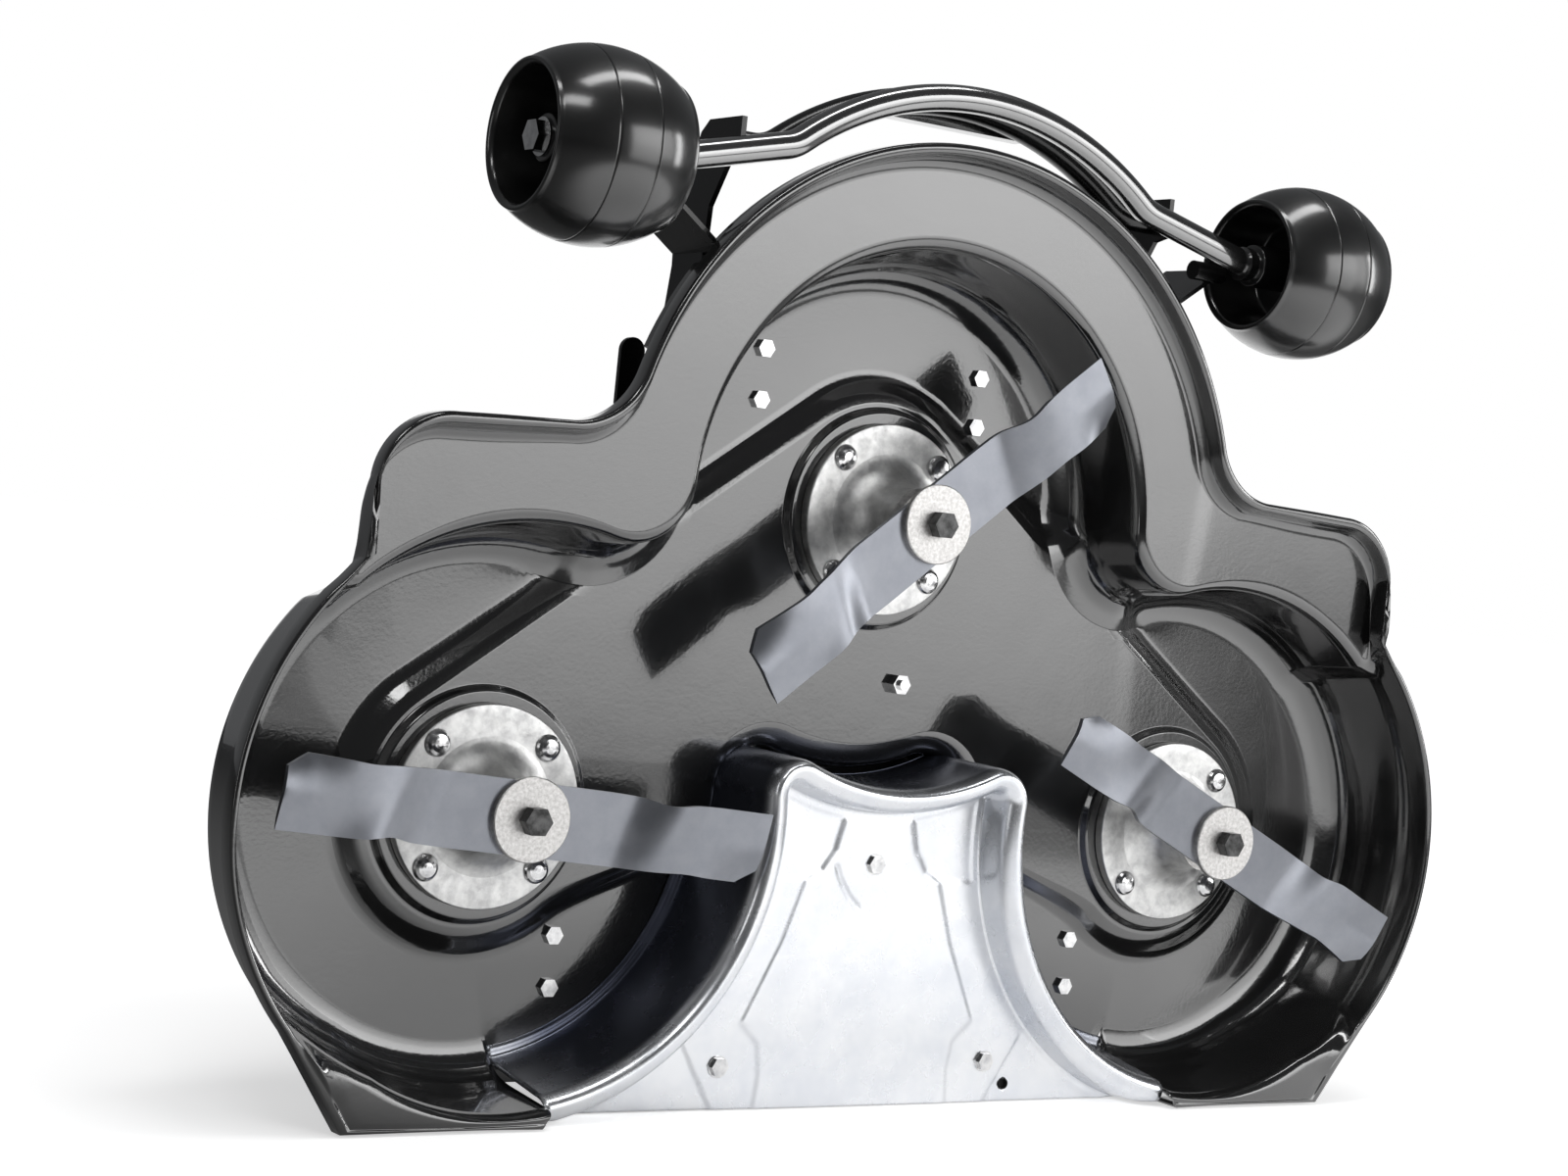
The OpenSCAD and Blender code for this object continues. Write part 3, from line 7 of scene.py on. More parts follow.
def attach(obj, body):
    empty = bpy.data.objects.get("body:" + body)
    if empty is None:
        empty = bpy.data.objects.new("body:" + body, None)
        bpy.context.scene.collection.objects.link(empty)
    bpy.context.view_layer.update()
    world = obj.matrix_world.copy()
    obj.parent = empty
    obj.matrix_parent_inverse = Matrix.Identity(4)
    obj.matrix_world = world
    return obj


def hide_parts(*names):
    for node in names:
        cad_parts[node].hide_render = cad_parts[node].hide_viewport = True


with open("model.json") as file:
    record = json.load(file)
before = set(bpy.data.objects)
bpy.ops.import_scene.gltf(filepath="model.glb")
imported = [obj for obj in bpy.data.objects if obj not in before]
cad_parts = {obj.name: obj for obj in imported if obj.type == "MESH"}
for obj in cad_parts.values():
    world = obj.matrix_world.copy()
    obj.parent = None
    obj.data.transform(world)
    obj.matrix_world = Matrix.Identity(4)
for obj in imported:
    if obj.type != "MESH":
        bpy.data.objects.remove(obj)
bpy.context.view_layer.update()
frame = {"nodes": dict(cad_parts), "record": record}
N = frame["nodes"]

# ---------------------------------------------------------------- places and sizes
# The deck frame of the part's source, in millimetres: u across, v to the front,
# z out of the blade side. P() takes a place in it to the row frame in metres.
MM = 0.001
YS, UP = 31.0, 256.0  # the flanges' Y and the outer spindles' height in the row frame
def P(u, v, z):
    return Vector((u * MM, (YS - z) * MM, (v + UP) * MM))

SIDE, AHEAD = 380.0, 276.0  # from the middle to an outer spindle, and from it to the centre one
CC, RR, LL = (0.0, AHEAD), (SIDE, 0.0), (-SIDE, 0.0)
SPOTS = {"left": LL, "centre": CC, "right": RR}
rad, deg = math.radians, math.degrees
def polar(c, r, a):
    return (c[0] + r * math.cos(rad(a)), c[1] + r * math.sin(rad(a)))
def mix(a, b, t):
    return a * (1 - t) + b * t
def mix2(p, q, t):
    return (mix(p[0], q[0], t), mix(p[1], q[1], t))
def clamp(t, a=0.0, b=1.0):
    return max(a, min(b, t))
def soft(t):
    """A smooth step from 0 to 1."""
    t = clamp(t)
    return t * t * (3 - 2 * t)
def bearing(p):
    return deg(math.atan2(p[1], p[0]))
def sub(p, q):
    return (p[0] - q[0], p[1] - q[1])
def norm(p):
    return math.hypot(p[0], p[1])

# ---------------------------------------------------------------- camera, matched to the photograph
PHOTO_W, FOCAL_PX, SENSOR, FAR_END = 1600.0, 2939.87, 36.0, 60.0
cam_data = bpy.data.cameras.new("camera")
cam = bpy.data.objects.new("camera", cam_data)
bpy.context.scene.collection.objects.link(cam)
cam.matrix_world = Matrix(((0.831239, -0.073466, -0.551040, -1.522710),
                           (-0.546645, 0.072256, -0.834241, -2.116089),
                           (0.101104, 0.994677, 0.019902, 0.513100),
                           (0.0, 0.0, 0.0, 1.0)))
cam_data.sensor_width = SENSOR
cam_data.lens = FOCAL_PX / PHOTO_W * SENSOR
cam_data.clip_end = FAR_END
bpy.context.scene.camera = cam

# ---------------------------------------------------------------- nodes and materials
def node(nt, kind, values=None, **settings):
    """Adds a shader node. Settings are its properties, and values the numbers in its sockets."""
    n = nt.nodes.new("ShaderNode" + kind)
    for k, v in settings.items():
        setattr(n, k, v)
    for k, v in (values or {}).items():
        n.inputs[k].default_value = v
    return n

def tree(owner):
    """Gives a material or world an empty node tree."""
    owner.use_nodes = True
    owner.node_tree.nodes.clear()
    return owner.node_tree

def principled(name):
    m = bpy.data.materials.new(name)
    nt = tree(m)
    bs = node(nt, "BsdfPrincipled")
    nt.links.new(bs.outputs[0], node(nt, "OutputMaterial").inputs[0])
    return m, nt, bs

def noise(nt, scale, detail, rough=0.55):
    n = node(nt, "TexNoise", {"Scale": scale, "Detail": detail, "Roughness": rough})
    nt.links.new(node(nt, "TexCoord").outputs["Object"], n.inputs["Vector"])
    return n.outputs["Fac"]

def ramp(nt, fac, stops):
    r = node(nt, "ValToRGB")
    e = r.color_ramp.elements
    while len(e) < len(stops):
        e.new(0.5)
    for el, (pos, col) in zip(e, stops):
        el.position = pos
        el.color = (*col, 1.0)
    nt.links.new(fac, r.inputs[0])
    return r.outputs[0]

def span(nt, fac, a, b, lo, hi, kind="LINEAR"):
    """Takes values from a to b to values from lo to hi."""
    m = node(nt, "MapRange", {1: a, 2: b, 3: lo, 4: hi}, interpolation_type=kind)
    nt.links.new(fac, m.inputs[0])
    return m.outputs[0]

def bump(nt, bs, fac, dist, strength, prev=None):
    b = node(nt, "Bump", {"Strength": strength, "Distance": dist})
    nt.links.new(fac, b.inputs["Height"])
    if prev is not None:
        nt.links.new(prev, b.inputs["Normal"])
    nt.links.new(b.outputs[0], bs.inputs["Normal"])
    return b.outputs[0]

def grey(v):
    return (v, v, v)

# how fine the patterns of a paint are: clouds, gloss, orange peel and slow waves under it
CLOUDS, GLOSS, PEEL, WAVES = 5.0, 14.0, 260.0, 9.0
PEEL_STRENGTH, WAVE_DEPTH = 0.25, 6
def paint(name, col, rough=(0.12, 0.2), coat=0.6, spec=0.6, peel=0.00025, dust=0.5, coat_ior=1.5,
          coat_rough=0.035):
    """Glossy powder coat: faint orange peel, cloudy dust and slightly uneven gloss."""
    m, nt, bs = principled(name)
    lo = tuple(c * (1 - 0.25 * dust) for c in col)
    hi = tuple(min(1, c * (1 + 0.5 * dust) + 0.004 * dust) for c in col)
    nt.links.new(ramp(nt, noise(nt, CLOUDS, 6), [(0.35, lo), (0.7, hi)]), bs.inputs["Base Color"])
    nt.links.new(span(nt, noise(nt, GLOSS, 5), 0.35, 0.7, *rough), bs.inputs["Roughness"])
    bs.inputs["Metallic"].default_value = 0.0
    bs.inputs["Specular IOR Level"].default_value = spec
    bs.inputs["Coat Weight"].default_value = coat
    bs.inputs["Coat Roughness"].default_value = coat_rough
    bs.inputs["Coat IOR"].default_value = coat_ior
    fine = bump(nt, bs, noise(nt, PEEL, 2), peel, PEEL_STRENGTH)
    bump(nt, bs, noise(nt, WAVES, 3), peel * WAVE_DEPTH, PEEL_STRENGTH, fine)
    return m

# how much finer than a metal's blotches its uneven gloss and its grain are
GLOSS_FINER, GRAIN_FINER, GRAIN_STRENGTH = 1.7, 14, 0.35
def metal(name, lo, hi, rough, scale, metallic=1.0, grain=0.00012, spec=0.5, painted_shade=None):
    """Bare or plated metal: blotches of colour and gloss with a fine grain."""
    m, nt, bs = principled(name)
    col = ramp(nt, noise(nt, scale, 8, 0.65), [(0.36, lo), (0.62, hi)])
    if painted_shade:
        # painted shade: a dark tone where the mesh carries the value "shade"; 6, 7 and 2 are the colour
        # sockets
        shade = node(nt, "Attribute", attribute_name="shade")
        mx = node(nt, "Mix", {7: (*painted_shade, 1)}, data_type="RGBA")
        nt.links.new(shade.outputs["Fac"], mx.inputs["Factor"])
        nt.links.new(col, mx.inputs[6])
        col = mx.outputs[2]
    nt.links.new(col, bs.inputs["Base Color"])
    nt.links.new(span(nt, noise(nt, scale * GLOSS_FINER, 6), 0.35, 0.68, *rough), bs.inputs["Roughness"])
    bs.inputs["Metallic"].default_value = metallic
    bs.inputs["Specular IOR Level"].default_value = spec
    bump(nt, bs, noise(nt, scale * GRAIN_FINER, 3, 0.6), grain, GRAIN_STRENGTH)
    return m

PAINTS = {
    "deck_paint": dict(col=grey(0.012), rough=(0.11, 0.18), coat=1.0, spec=1.0, coat_ior=1.6, peel=0.0004),
    "bracket_paint": dict(col=grey(0.006), rough=(0.2, 0.3), coat=0.25, spec=0.35),
    "bar_paint": dict(col=grey(0.016), rough=(0.2, 0.3), coat=1.0, spec=1.0, coat_ior=2.6, coat_rough=0.08),
    "pulley_steel": dict(col=(0.02, 0.02, 0.022), rough=(0.25, 0.4), coat=0.2, spec=0.6),
    "wheel_plastic": dict(col=grey(0.006), rough=(0.36, 0.46), coat=0.9, spec=0.3, dust=0.3, coat_ior=1.75,
                          coat_rough=0.17),
    "belt_rubber": dict(col=grey(0.02), rough=(0.7, 0.9), coat=0.0, spec=0.3),
}
METALS = {
    # the zinc's painted shade and reflection: a dark bluish tone, used where the mesh's "shade" value asks
    # for it
    "zinc_sheet": dict(lo=(0.70, 0.72, 0.76), hi=(0.80, 0.81, 0.83), rough=(0.22, 0.32), scale=14.0,
                       metallic=0.9, painted_shade=(0.10, 0.11, 0.15)),
    "zinc_steel": dict(lo=(0.50, 0.50, 0.51), hi=grey(0.72), rough=(0.12, 0.24), scale=90.0),
    "cast_alloy": dict(lo=grey(0.52), hi=(0.74, 0.74, 0.73), rough=(0.36, 0.52), scale=75.0, grain=0.0003),
    "plain_steel": dict(lo=(0.44, 0.43, 0.42), hi=(0.66, 0.65, 0.64), rough=(0.34, 0.5), scale=320.0,
                        grain=0.0002),
    "dark_steel": dict(lo=grey(0.03), hi=grey(0.12), rough=(0.3, 0.5), scale=90.0, metallic=0.7),
    "blade_steel": dict(lo=(0.225, 0.235, 0.262), hi=(0.255, 0.265, 0.292), rough=(0.28, 0.34), scale=40.0,
                        metallic=0.75, spec=0.6, grain=0.00003),
}
MAT = {k: paint(k, **v) for k, v in PAINTS.items()}
MAT.update({k: metal(k, **v) for k, v in METALS.items()})
# the bar's pieces share the brackets' slot, but their paint is glossier
BAR_NODES = ("front_bar", "bar_strap", "bar_end_left", "bar_end_right")

def smooth(o, angle=32.0):
    for p in o.data.polygons:
        p.use_smooth = True
    o.data.set_sharp_from_angle(angle=rad(angle))

for s in frame["record"]["subparts"]:
    o = N[s["node"]]
    o.data.materials.clear()
    o.data.materials.append(MAT["bar_paint" if s["node"] in BAR_NODES else s["material_slot"]])
    smooth(o)

# ---------------------------------------------------------------- mesh helpers
def add_mesh(name, bm, material):
    me = bpy.data.meshes.new(name)
    bm.to_mesh(me)
    bm.free()
    o = bpy.data.objects.new(name, me)
    bpy.context.scene.collection.objects.link(o)
    me.materials.append(material)
    return o

def new_object(name, bm, slot, body, angle):
    """Adds a piece in its slot's material, riding on a body; edges sharper than the angle stay sharp."""
    o = add_mesh(name, bm, MAT[slot])
    smooth(o, angle)
    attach(o, body)
    return o

def thicken(o, sheet):
    """Gives a surface the thickness of its sheet, behind the side that is seen."""
    sol = o.modifiers.new("sheet", "SOLIDIFY")
    sol.thickness = sheet * MM
    sol.offset = -1.0

def face_viewer(bm):
    """Turns all faces alike, with the blade side toward -Y."""
    bmesh.ops.recalc_face_normals(bm, faces=bm.faces)
    if sum(f.normal.y * f.calc_area() for f in bm.faces) > 0:
        bmesh.ops.reverse_faces(bm, faces=bm.faces)

def close_up(bm):
    """Joins the double points of a lathed solid and turns its faces outward."""
    bmesh.ops.remove_doubles(bm, verts=bm.verts, dist=1e-6)
    bmesh.ops.recalc_face_normals(bm, faces=bm.faces)

def add_face(bm, vs):
    """Adds a face, unless it is there already."""
    try:
        bm.faces.new(vs)
    except ValueError:
        pass

def lathe(bm, c, prof, segs, axis="z"):
    """Revolves (radius, height) points about an axis through deck place c. A point on it is on "z"."""
    rings = []
    for r, h in prof:
        ring = []
        if r < 1e-6:
            rings.append([bm.verts.new(P(c[0], c[1], c[2] + h))] * segs)
            continue
        for i in range(segs):
            a = 2 * math.pi * i / segs
            if axis == "z":
                ring.append(bm.verts.new(P(c[0] + r * math.cos(a), c[1] + r * math.sin(a), c[2] + h)))
            else:
                ring.append(bm.verts.new(P(c[0] + h, c[1] + r * math.cos(a), c[2] + r * math.sin(a))))
        rings.append(ring)
    for a, b in zip(rings, rings[1:]):
        for i in range(segs):
            j = (i + 1) % segs
            vs = [a[i], a[j], b[j], b[i]]
            if len(set(vs)) > 2:
                add_face(bm, list(dict.fromkeys(vs)))

MOST = 0.48  # the share of a side that the rounding of one corner may take
def round_poly(pts, cuts, m=4):
    """Rounds each inner point of a polyline (any dimension) with m points; cuts limits how far from it."""
    out = [pts[0]]
    for k in range(1, len(pts) - 1):
        a, b, c = pts[k - 1], pts[k], pts[k + 1]
        la = math.dist(a, b) or 1e-9
        lc = math.dist(c, b) or 1e-9
        d = min(cuts[k], MOST * la, MOST * lc)
        p = [b[i] + (a[i] - b[i]) * d / la for i in range(len(b))]
        q = [b[i] + (c[i] - b[i]) * d / lc for i in range(len(b))]
        for s in range(m):
            t = s / (m - 1)
            out.append([(1 - t) ** 2 * p[i] + 2 * t * (1 - t) * b[i] + t * t * q[i] for i in range(len(b))])
    out.append(pts[-1])
    return out

# ---------------------------------------------------------------- the stamped shell, finely lofted
# sheet, then levels from the spindles' flanges: rim, shelf and feet before them, the floors behind them
SHEET, RIM_Z, SHELF_Z, FOOT_Z, RING, MIDDLE = 3.0, 92.0, 68.0, 88.6, 31.0, 18.0
# radii of chamber, floor, side and front rim and the cusps between the chambers
CH_R, FL_R, SIDE_RIM, FRONT_RIM, CUSP_R, LIP = 243.0, 203.0, 262.0, 331.0, 60.0, 6.0
SPAN = norm((SIDE, AHEAD))
ALONG = (SIDE / SPAN, -AHEAD / SPAN)
ACROSS = (AHEAD / SPAN, SIDE / SPAN)
MIDP = mix2(CC, RR, 0.5)
CUSP_OUT = CH_R + CUSP_R
h = math.sqrt(CUSP_OUT ** 2 - (SPAN / 2) ** 2)
CUSP_C = (MIDP[0] + ACROSS[0] * h, MIDP[1] + ACROSS[1] * h)
A_CC, A_RC = bearing(sub(CUSP_C, CC)), bearing(sub(CUSP_C, RR))
# the shoulders: front edge and its fall, hollow, corner, side and notch; then the feet and the hood
SH_Y, SH_FALL, HOL_R, COR_R, SH_X, NOTCH_Y = 325.0, 5.0, 70.0, 65.0, 487.0, 205.0
FOOT_X, REAR_Y, HOOD_W = 526.0, 253.0, 345.0
HOL_C = (math.sqrt((FRONT_RIM + HOL_R) ** 2 - (SH_Y + HOL_R - AHEAD) ** 2), SH_Y + HOL_R)
A_HOL = bearing(sub(HOL_C, CC))
COR_C = (SH_X, SH_Y - SH_FALL - COR_R)
SIDE_A, SIDE_B, WEB_END, COR_A, COR_B = 41.0, -40.0, -100.0, 62.0, 47.0
# the brow over the discharge, and its corner of radius BCR about BK
BROW_R, OPEN_R, BCR = 218.0, 236.0, 54.0
KC, KR = BROW_R + BCR, OPEN_R + BCR
K_AL = (KC ** 2 - KR ** 2 + SPAN ** 2) / (2 * SPAN)
hk = math.sqrt(KC ** 2 - K_AL ** 2)
BK = (CC[0] + ALONG[0] * K_AL - ACROSS[0] * hk, CC[1] + ALONG[1] * K_AL - ACROSS[1] * hk)
A_KR, A_KC = bearing(sub(RR, BK)), bearing(sub(CC, BK))
FLANK_END = bearing(sub(BK, RR)) - 360
BROW_START = bearing(sub(BK, CC))
# five rows from the ring floor up to the raised middle: radii, then at the brow the steps from its
# edge and how deep they roll, then the share of the fall to the ring floor
MID_R = [134.0, 127.0, 114.0, 106.0, 104.3]
BSTEP = [-11.0, -5.0, 3.0, 10.0, 12.0]
BROLL = [11.4, 5.0, 1.0, 0.0, 0.0]
MFALL = [1.0, 0.85, 0.15, 0.0, 0.0]
SLOPE_ROWS = list(zip(MID_R[:4], MFALL))[::-1]
# Half of the outline in steps, from the front to the middle of the rear: front rim, hollow, shoulder,
# corner, notch, side, foot's side, foot's rear, flank of the discharge, brow's corner and brow.
COUNTS = n1, n2, n3, n4, n5, n6, n7, n8, n9, n10, n11 = 15, 8, 5, 6, 2, 13, 4, 5, 10, 6, 4
s1, s2, s3, s4, s5, s6, s7, s8, s9, s10, HALF = accumulate(COUNTS)

def rim_pt(i):
    """The rim's outline at step i."""
    if i <= s1: return polar(CC, FRONT_RIM, mix(90, A_HOL, i / n1))
    if i <= s2: return polar(HOL_C, HOL_R, mix(180 + A_HOL, 270, (i - s1) / n2))
    if i <= s3: return mix2((HOL_C[0], SH_Y), (COR_C[0], COR_C[1] + COR_R), (i - s2) / n3)
    if i <= s4: return polar(COR_C, COR_R, mix(90, 0, (i - s3) / n4))
    if i <= s4 + 1: return mix2((COR_C[0] + COR_R, COR_C[1]), (COR_C[0] + COR_R, NOTCH_Y), i - s4)
    if i <= s5: return mix2((COR_C[0] + COR_R, NOTCH_Y), polar(RR, SIDE_RIM, SIDE_A), i - s4 - 1)
    if i <= s6: return polar(RR, SIDE_RIM, mix(SIDE_A, SIDE_B, (i - s5) / n6))
    if i <= s7: return mix2(polar(RR, SIDE_RIM, SIDE_B), (FOOT_X, -REAR_Y), (i - s6) / n7)
    return mix2((FOOT_X, -REAR_Y), (HOOD_W, -REAR_Y), (i - s7) / n8)

def wall_a(i):
    """The angle about its centre at which the chamber's wall is met."""
    if i <= s1: return mix(90, A_CC, i / n1)
    if i <= s2: return mix(180 + A_CC, 180 + A_RC, (i - s1) / n2)
    if i <= s3: return mix(A_RC, COR_A, (i - s2) / n3)
    if i <= s4: return mix(COR_A, COR_B, (i - s3) / n4)
    if i <= s5: return mix(COR_B, SIDE_A, (i - s4) / n5)
    if i <= s6: return mix(SIDE_A, SIDE_B, (i - s5) / n6)
    return mix(SIDE_B, WEB_END, (i - s6) / (n7 + n8))

def chamber_pt(i, r):
    """The place on the chamber's wall, for a radius r of the chamber."""
    if i <= s1: return polar(CC, r, wall_a(i))
    if i <= s2: return polar(CUSP_C, CUSP_OUT - r, wall_a(i))
    return polar(RR, r, wall_a(i))

def lerp_list(i, pairs):
    """Reads a table of places and values, straight between two of them."""
    for (a, va), (b, vb) in zip(pairs, pairs[1:]):
        if i <= b:
            return va if i <= a else mix(va, vb, (i - a) / (b - a))
    return pairs[-1][1]

def side_share(i):
    """1 along the side, where the shelf gives way to a flared skirt, and 0 elsewhere."""
    return lerp_list(i, [(s4, 0.0), (s5, 1.0), (s6, 1.0), (s6 + 3, 0.0)])
def ledge_z(i):
    """The level of the shelf, and of the foot's plate at its end."""
    return lerp_list(i, [(s6, SHELF_Z), (s6 + 1, 84.0), (s6 + 2, FOOT_Z)])
def turn(i):
    """0 before the foot, and 1 from its corner on."""
    return clamp((i - s6) / n7)
def turn_deep(i):
    """How far the rim's lip reaches back."""
    return lerp_list(i, [(s6, 17.0), (s7, 20.0), (s7 + 1, 20.0), (s7 + 2, 118.0)])

EDGE_R = 7.0  # the roll from the shelf into the chamber
def seat_r(i): return mix(CH_R, CH_R + 13.0, side_share(i))
def foot_r(i): return mix(CH_R - 5.0, CH_R + 4.0, side_share(i))
def reach(i):
    return norm(sub(chamber_pt(i, seat_r(i) + EDGE_R / 3), rim_pt(i)))
def lead(i, d):
    """The place d from the rim toward the chamber."""
    a, b = rim_pt(i), chamber_pt(i, seat_r(i) + EDGE_R / 3)
    l = norm(sub(b, a))
    return (a[0] + (b[0] - a[0]) * d / l, a[1] + (b[1] - a[1]) * d / l)
def floor_t(i):
    """How far from the centre spindle to the side one the floor's edge lies."""
    q = sub(chamber_pt(i, FL_R), CC)
    return (q[0] * ALONG[0] + q[1] * ALONG[1]) / SPAN
M1 = 8  # the step where the raised middle leaves the arc round the centre spindle
THIRD = floor_t(s1)
A_ACROSS = bearing(ACROSS)
def mid_frame(i):
    """The centre and the angle from which the raised middle's outline is drawn."""
    if i <= M1: return CC, mix(90, A_ACROSS, i / M1)
    if i <= s1: return mix2(CC, RR, THIRD * (i - M1) / (n1 - M1)), A_ACROSS
    if i <= s2: return mix2(CC, RR, floor_t(i)), A_ACROSS
    if i <= s3: return mix2(CC, RR, mix(1 - THIRD, 1, (i - s2) / n3)), A_ACROSS
    if i <= s5: return RR, mix(A_ACROSS, SIDE_A, (i - s3) / (s5 - s3))
    if i <= s6: return RR, mix(SIDE_A, SIDE_B, (i - s5) / n6)
    return RR, mix(SIDE_B, WEB_END, (i - s6) / (n7 + n8))
def floor_room(i):
    """How far the floor's edge is from that centre."""
    if i <= M1 or i > s3: return FL_R
    q = sub(chamber_pt(i, FL_R), CC)
    return q[0] * ACROSS[0] + q[1] * ACROSS[1]
def mid_rad(i, j):
    """The radius of row j, kept inside the floor's edge."""
    return min(MID_R[j], floor_room(i) - 3.0 * (min(j, 3) + 1) - (1.5 if j == 4 else 0))
def mid_level(r):
    """The level of the slope between the ring floor and the raised middle."""
    return -MIDDLE - (RING - MIDDLE) * lerp_list(r, SLOPE_ROWS)
BLEND = 4.5  # the steps over which the flank turns into the brow
def brow_share(i):
    return soft((i - s9 + BLEND) / BLEND)
BEND_T, BEND_A = 0.35, -130  # where on the flank, and at what angle, the middle leaves its arc
def mid_pt(i, j):
    """Row j of the raised middle's edge at step i."""
    if i <= s8:
        c, a = mid_frame(i)
        return polar(c, mid_rad(i, j), a)
    if i <= s9:
        t = (i - s8) / n9
        if t <= BEND_T: return polar(RR, MID_R[j], mix(WEB_END, BEND_A, t / BEND_T))
        # a smooth curve from the arc round the spindle into the brow's corner
        t = (t - BEND_T) / (1 - BEND_T)
        p, q = polar(RR, MID_R[j], BEND_A), polar(BK, BCR + BSTEP[j], A_KR)
        l = norm(sub(q, p))
        a, b = polar((0, 0), l * 0.7, 140), polar((0, 0), l * 0.9, A_KR + 90)
        h0, h1, h2, h3 = (1 + 2 * t) * (1 - t) ** 2, t * (1 - t) ** 2, t * t * (3 - 2 * t), t * t * (t - 1)
        return tuple(h0 * p[k] + h1 * a[k] + h2 * q[k] + h3 * b[k] for k in (0, 1))
    if i <= s10: return polar(BK, BCR + BSTEP[j], mix(A_KR, A_KC, (i - s9) / n10))
    return polar(CC, BROW_R - BSTEP[j], mix(BROW_START, -90, (i - s10) / n11))
def mid_z(i, j):
    if i <= s8: return mid_level(mid_rad(i, j))
    return -MIDDLE - mix((RING - MIDDLE) * MFALL[j], BROLL[j], brow_share(i))
ROLL, OPEN_FALL = 15.0, 25.0  # how far the brow's lip runs in over the opening, and how deep
def open_pt(i):
    """The edge of the opening of the discharge."""
    if i <= s9: return polar(RR, OPEN_R + ROLL * brow_share(i), mix(WEB_END, FLANK_END, (i - s8) / n9))
    if i <= s10: return polar(BK, BCR - ROLL, mix(A_KR, A_KC, (i - s9) / n10))
    return polar(CC, BROW_R + ROLL, mix(BROW_START, -90, (i - s10) / n11))
def open_z(i): return -mix(RING, MIDDLE + OPEN_FALL, brow_share(i))

def skirt(i):
    """Rows 0 to 11 of the section at step i: rim, shelf, chamber wall and floor edge."""
    q, z, tk, re = side_share(i), ledge_z(i), turn(i), reach(i)
    sr, er = seat_r(i), EDGE_R
    rows = [
        (*lead(i, -mix(LIP - 0.4, 3.0, tk)), RIM_Z - turn_deep(i)),
        (*lead(i, -mix(LIP - 0.9, 2.4, tk)), RIM_Z - mix(0, 3.0, tk)),
        (*lead(i, min(4.2, re * 0.15)), RIM_Z - mix(0.6, 3.0, tk)),
        (*lead(i, min(6.0, re * 0.3)), mix(min(z + er, RIM_Z - 4.0), z + 14.0, q)),
        (*lead(i, min(14.0, re * 0.5)), mix(z, z + er, q)),
        (*lead(i, re - min(er, re * 0.25)), z),
        (*chamber_pt(i, sr + er / 3), z - er * 0.6),
        (*chamber_pt(i, sr), z - er * 1.6)]
    low = mid_level(floor_room(i))
    for k in range(8, 12):
        a = rad((k - 8) * 30)
        rows.append((*chamber_pt(i, mix(FL_R, foot_r(i), math.cos(a))), 5.0 + (low - 5.0) * math.sin(a)))
    return rows

# how far the corners of these rows are rounded, and the columns to one step of the outline
SK_CUTS = [0, 4.4, 4.0, 5.0, 7.0, 5.0, 3.0, 12.0, 14.0, 14.0, 14.0, 0]
MID_CUTS = [0, 6.0, 8.0, 8.0, 3.0, 0]
STEP = 4
# the stamped pad round each spindle: radius and level, down to its hole
PAD = [(103.0, -18.0), (102.2, -17.9), (101.0, -16.9), (98.6, -12.6), (97.4, -11.3), (96.0, -11.0),
       (43.3, -11.0)]
PAD_N = 96
def shell_mesh():
    bm = bmesh.new()
    cols = []
    for t in range(HALF * STEP + 1):
        i = t / STEP
        mid = [(*mid_pt(i, j), mid_z(i, j)) for j in range(5)]
        if i <= s8:
            sk = skirt(i)
            top = round_poly(sk, SK_CUTS)
            start = sk[-1]
        else:
            top = None
            start = (*open_pt(i), open_z(i))
        low = round_poly([start] + mid, MID_CUTS)
        cols.append((top, low))
    def add(seq, flip):
        return [bm.verts.new(P(-p[0] if flip else p[0], p[1], p[2])) for p in seq]
    grid = []
    total = 2 * (len(cols) - 1)
    for j in range(total):
        t = j if j < len(cols) else total - j
        flip = j >= len(cols)
        top, low = cols[t]
        lv = add(low, flip)
        tv = (add(top[:-1], flip) + [lv[0]]) if top else None
        grid.append((tv, lv))
    def strip(a, b):
        for k in range(len(a) - 1):
            q = [a[k], b[k], b[k + 1], a[k + 1]]
            if (q[0].co - q[1].co).length < 1e-7:
                q = q[1:]
            add_face(bm, q)
    for j in range(total):
        a, b = grid[j], grid[(j + 1) % total]
        strip(a[1], b[1])
        if a[0] and b[0]:
            strip(a[0], b[0])
    # flat top of the raised middle, with a stamped pad round each spindle
    loops = [[g[1][-1] for g in grid]]
    for c in (CC, RR, LL):
        rings = [[bm.verts.new(P(*polar(c, r, 360 * k / PAD_N), z)) for k in range(PAD_N)] for r, z in PAD]
        for a, b in zip(rings, rings[1:]):
            for k in range(PAD_N):
                m = (k + 1) % PAD_N
                bm.faces.new([a[k], a[m], b[m], b[k]])
        loops.append(rings[0])
    flat = [v for l in loops for v in l]
    polys = [[Vector((v.co.x, v.co.z, 0)) for v in l] for l in loops]
    for t in tessellate_polygon(polys):
        add_face(bm, [flat[k] for k in t])
    bmesh.ops.remove_doubles(bm, verts=bm.verts, dist=2e-6)
    face_viewer(bm)
    return bm

shell = new_object("deck_shell_form", shell_mesh(), "deck_paint", "deck", 60)
thicken(shell, SHEET)
wn = shell.modifiers.new("normals", "WEIGHTED_NORMAL")
wn.keep_sharp = True
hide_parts("deck_shell")

# ---------------------------------------------------------------- the zinc baffle over the discharge
# corner radius, rear edge and how much further back it runs outside, level of the floor, sheet
BAF_COR, BAF_REAR, BAF_MORE, BAF_Z, ZINC = 28.0, 243.0, 12.0, 36.0, 2.0
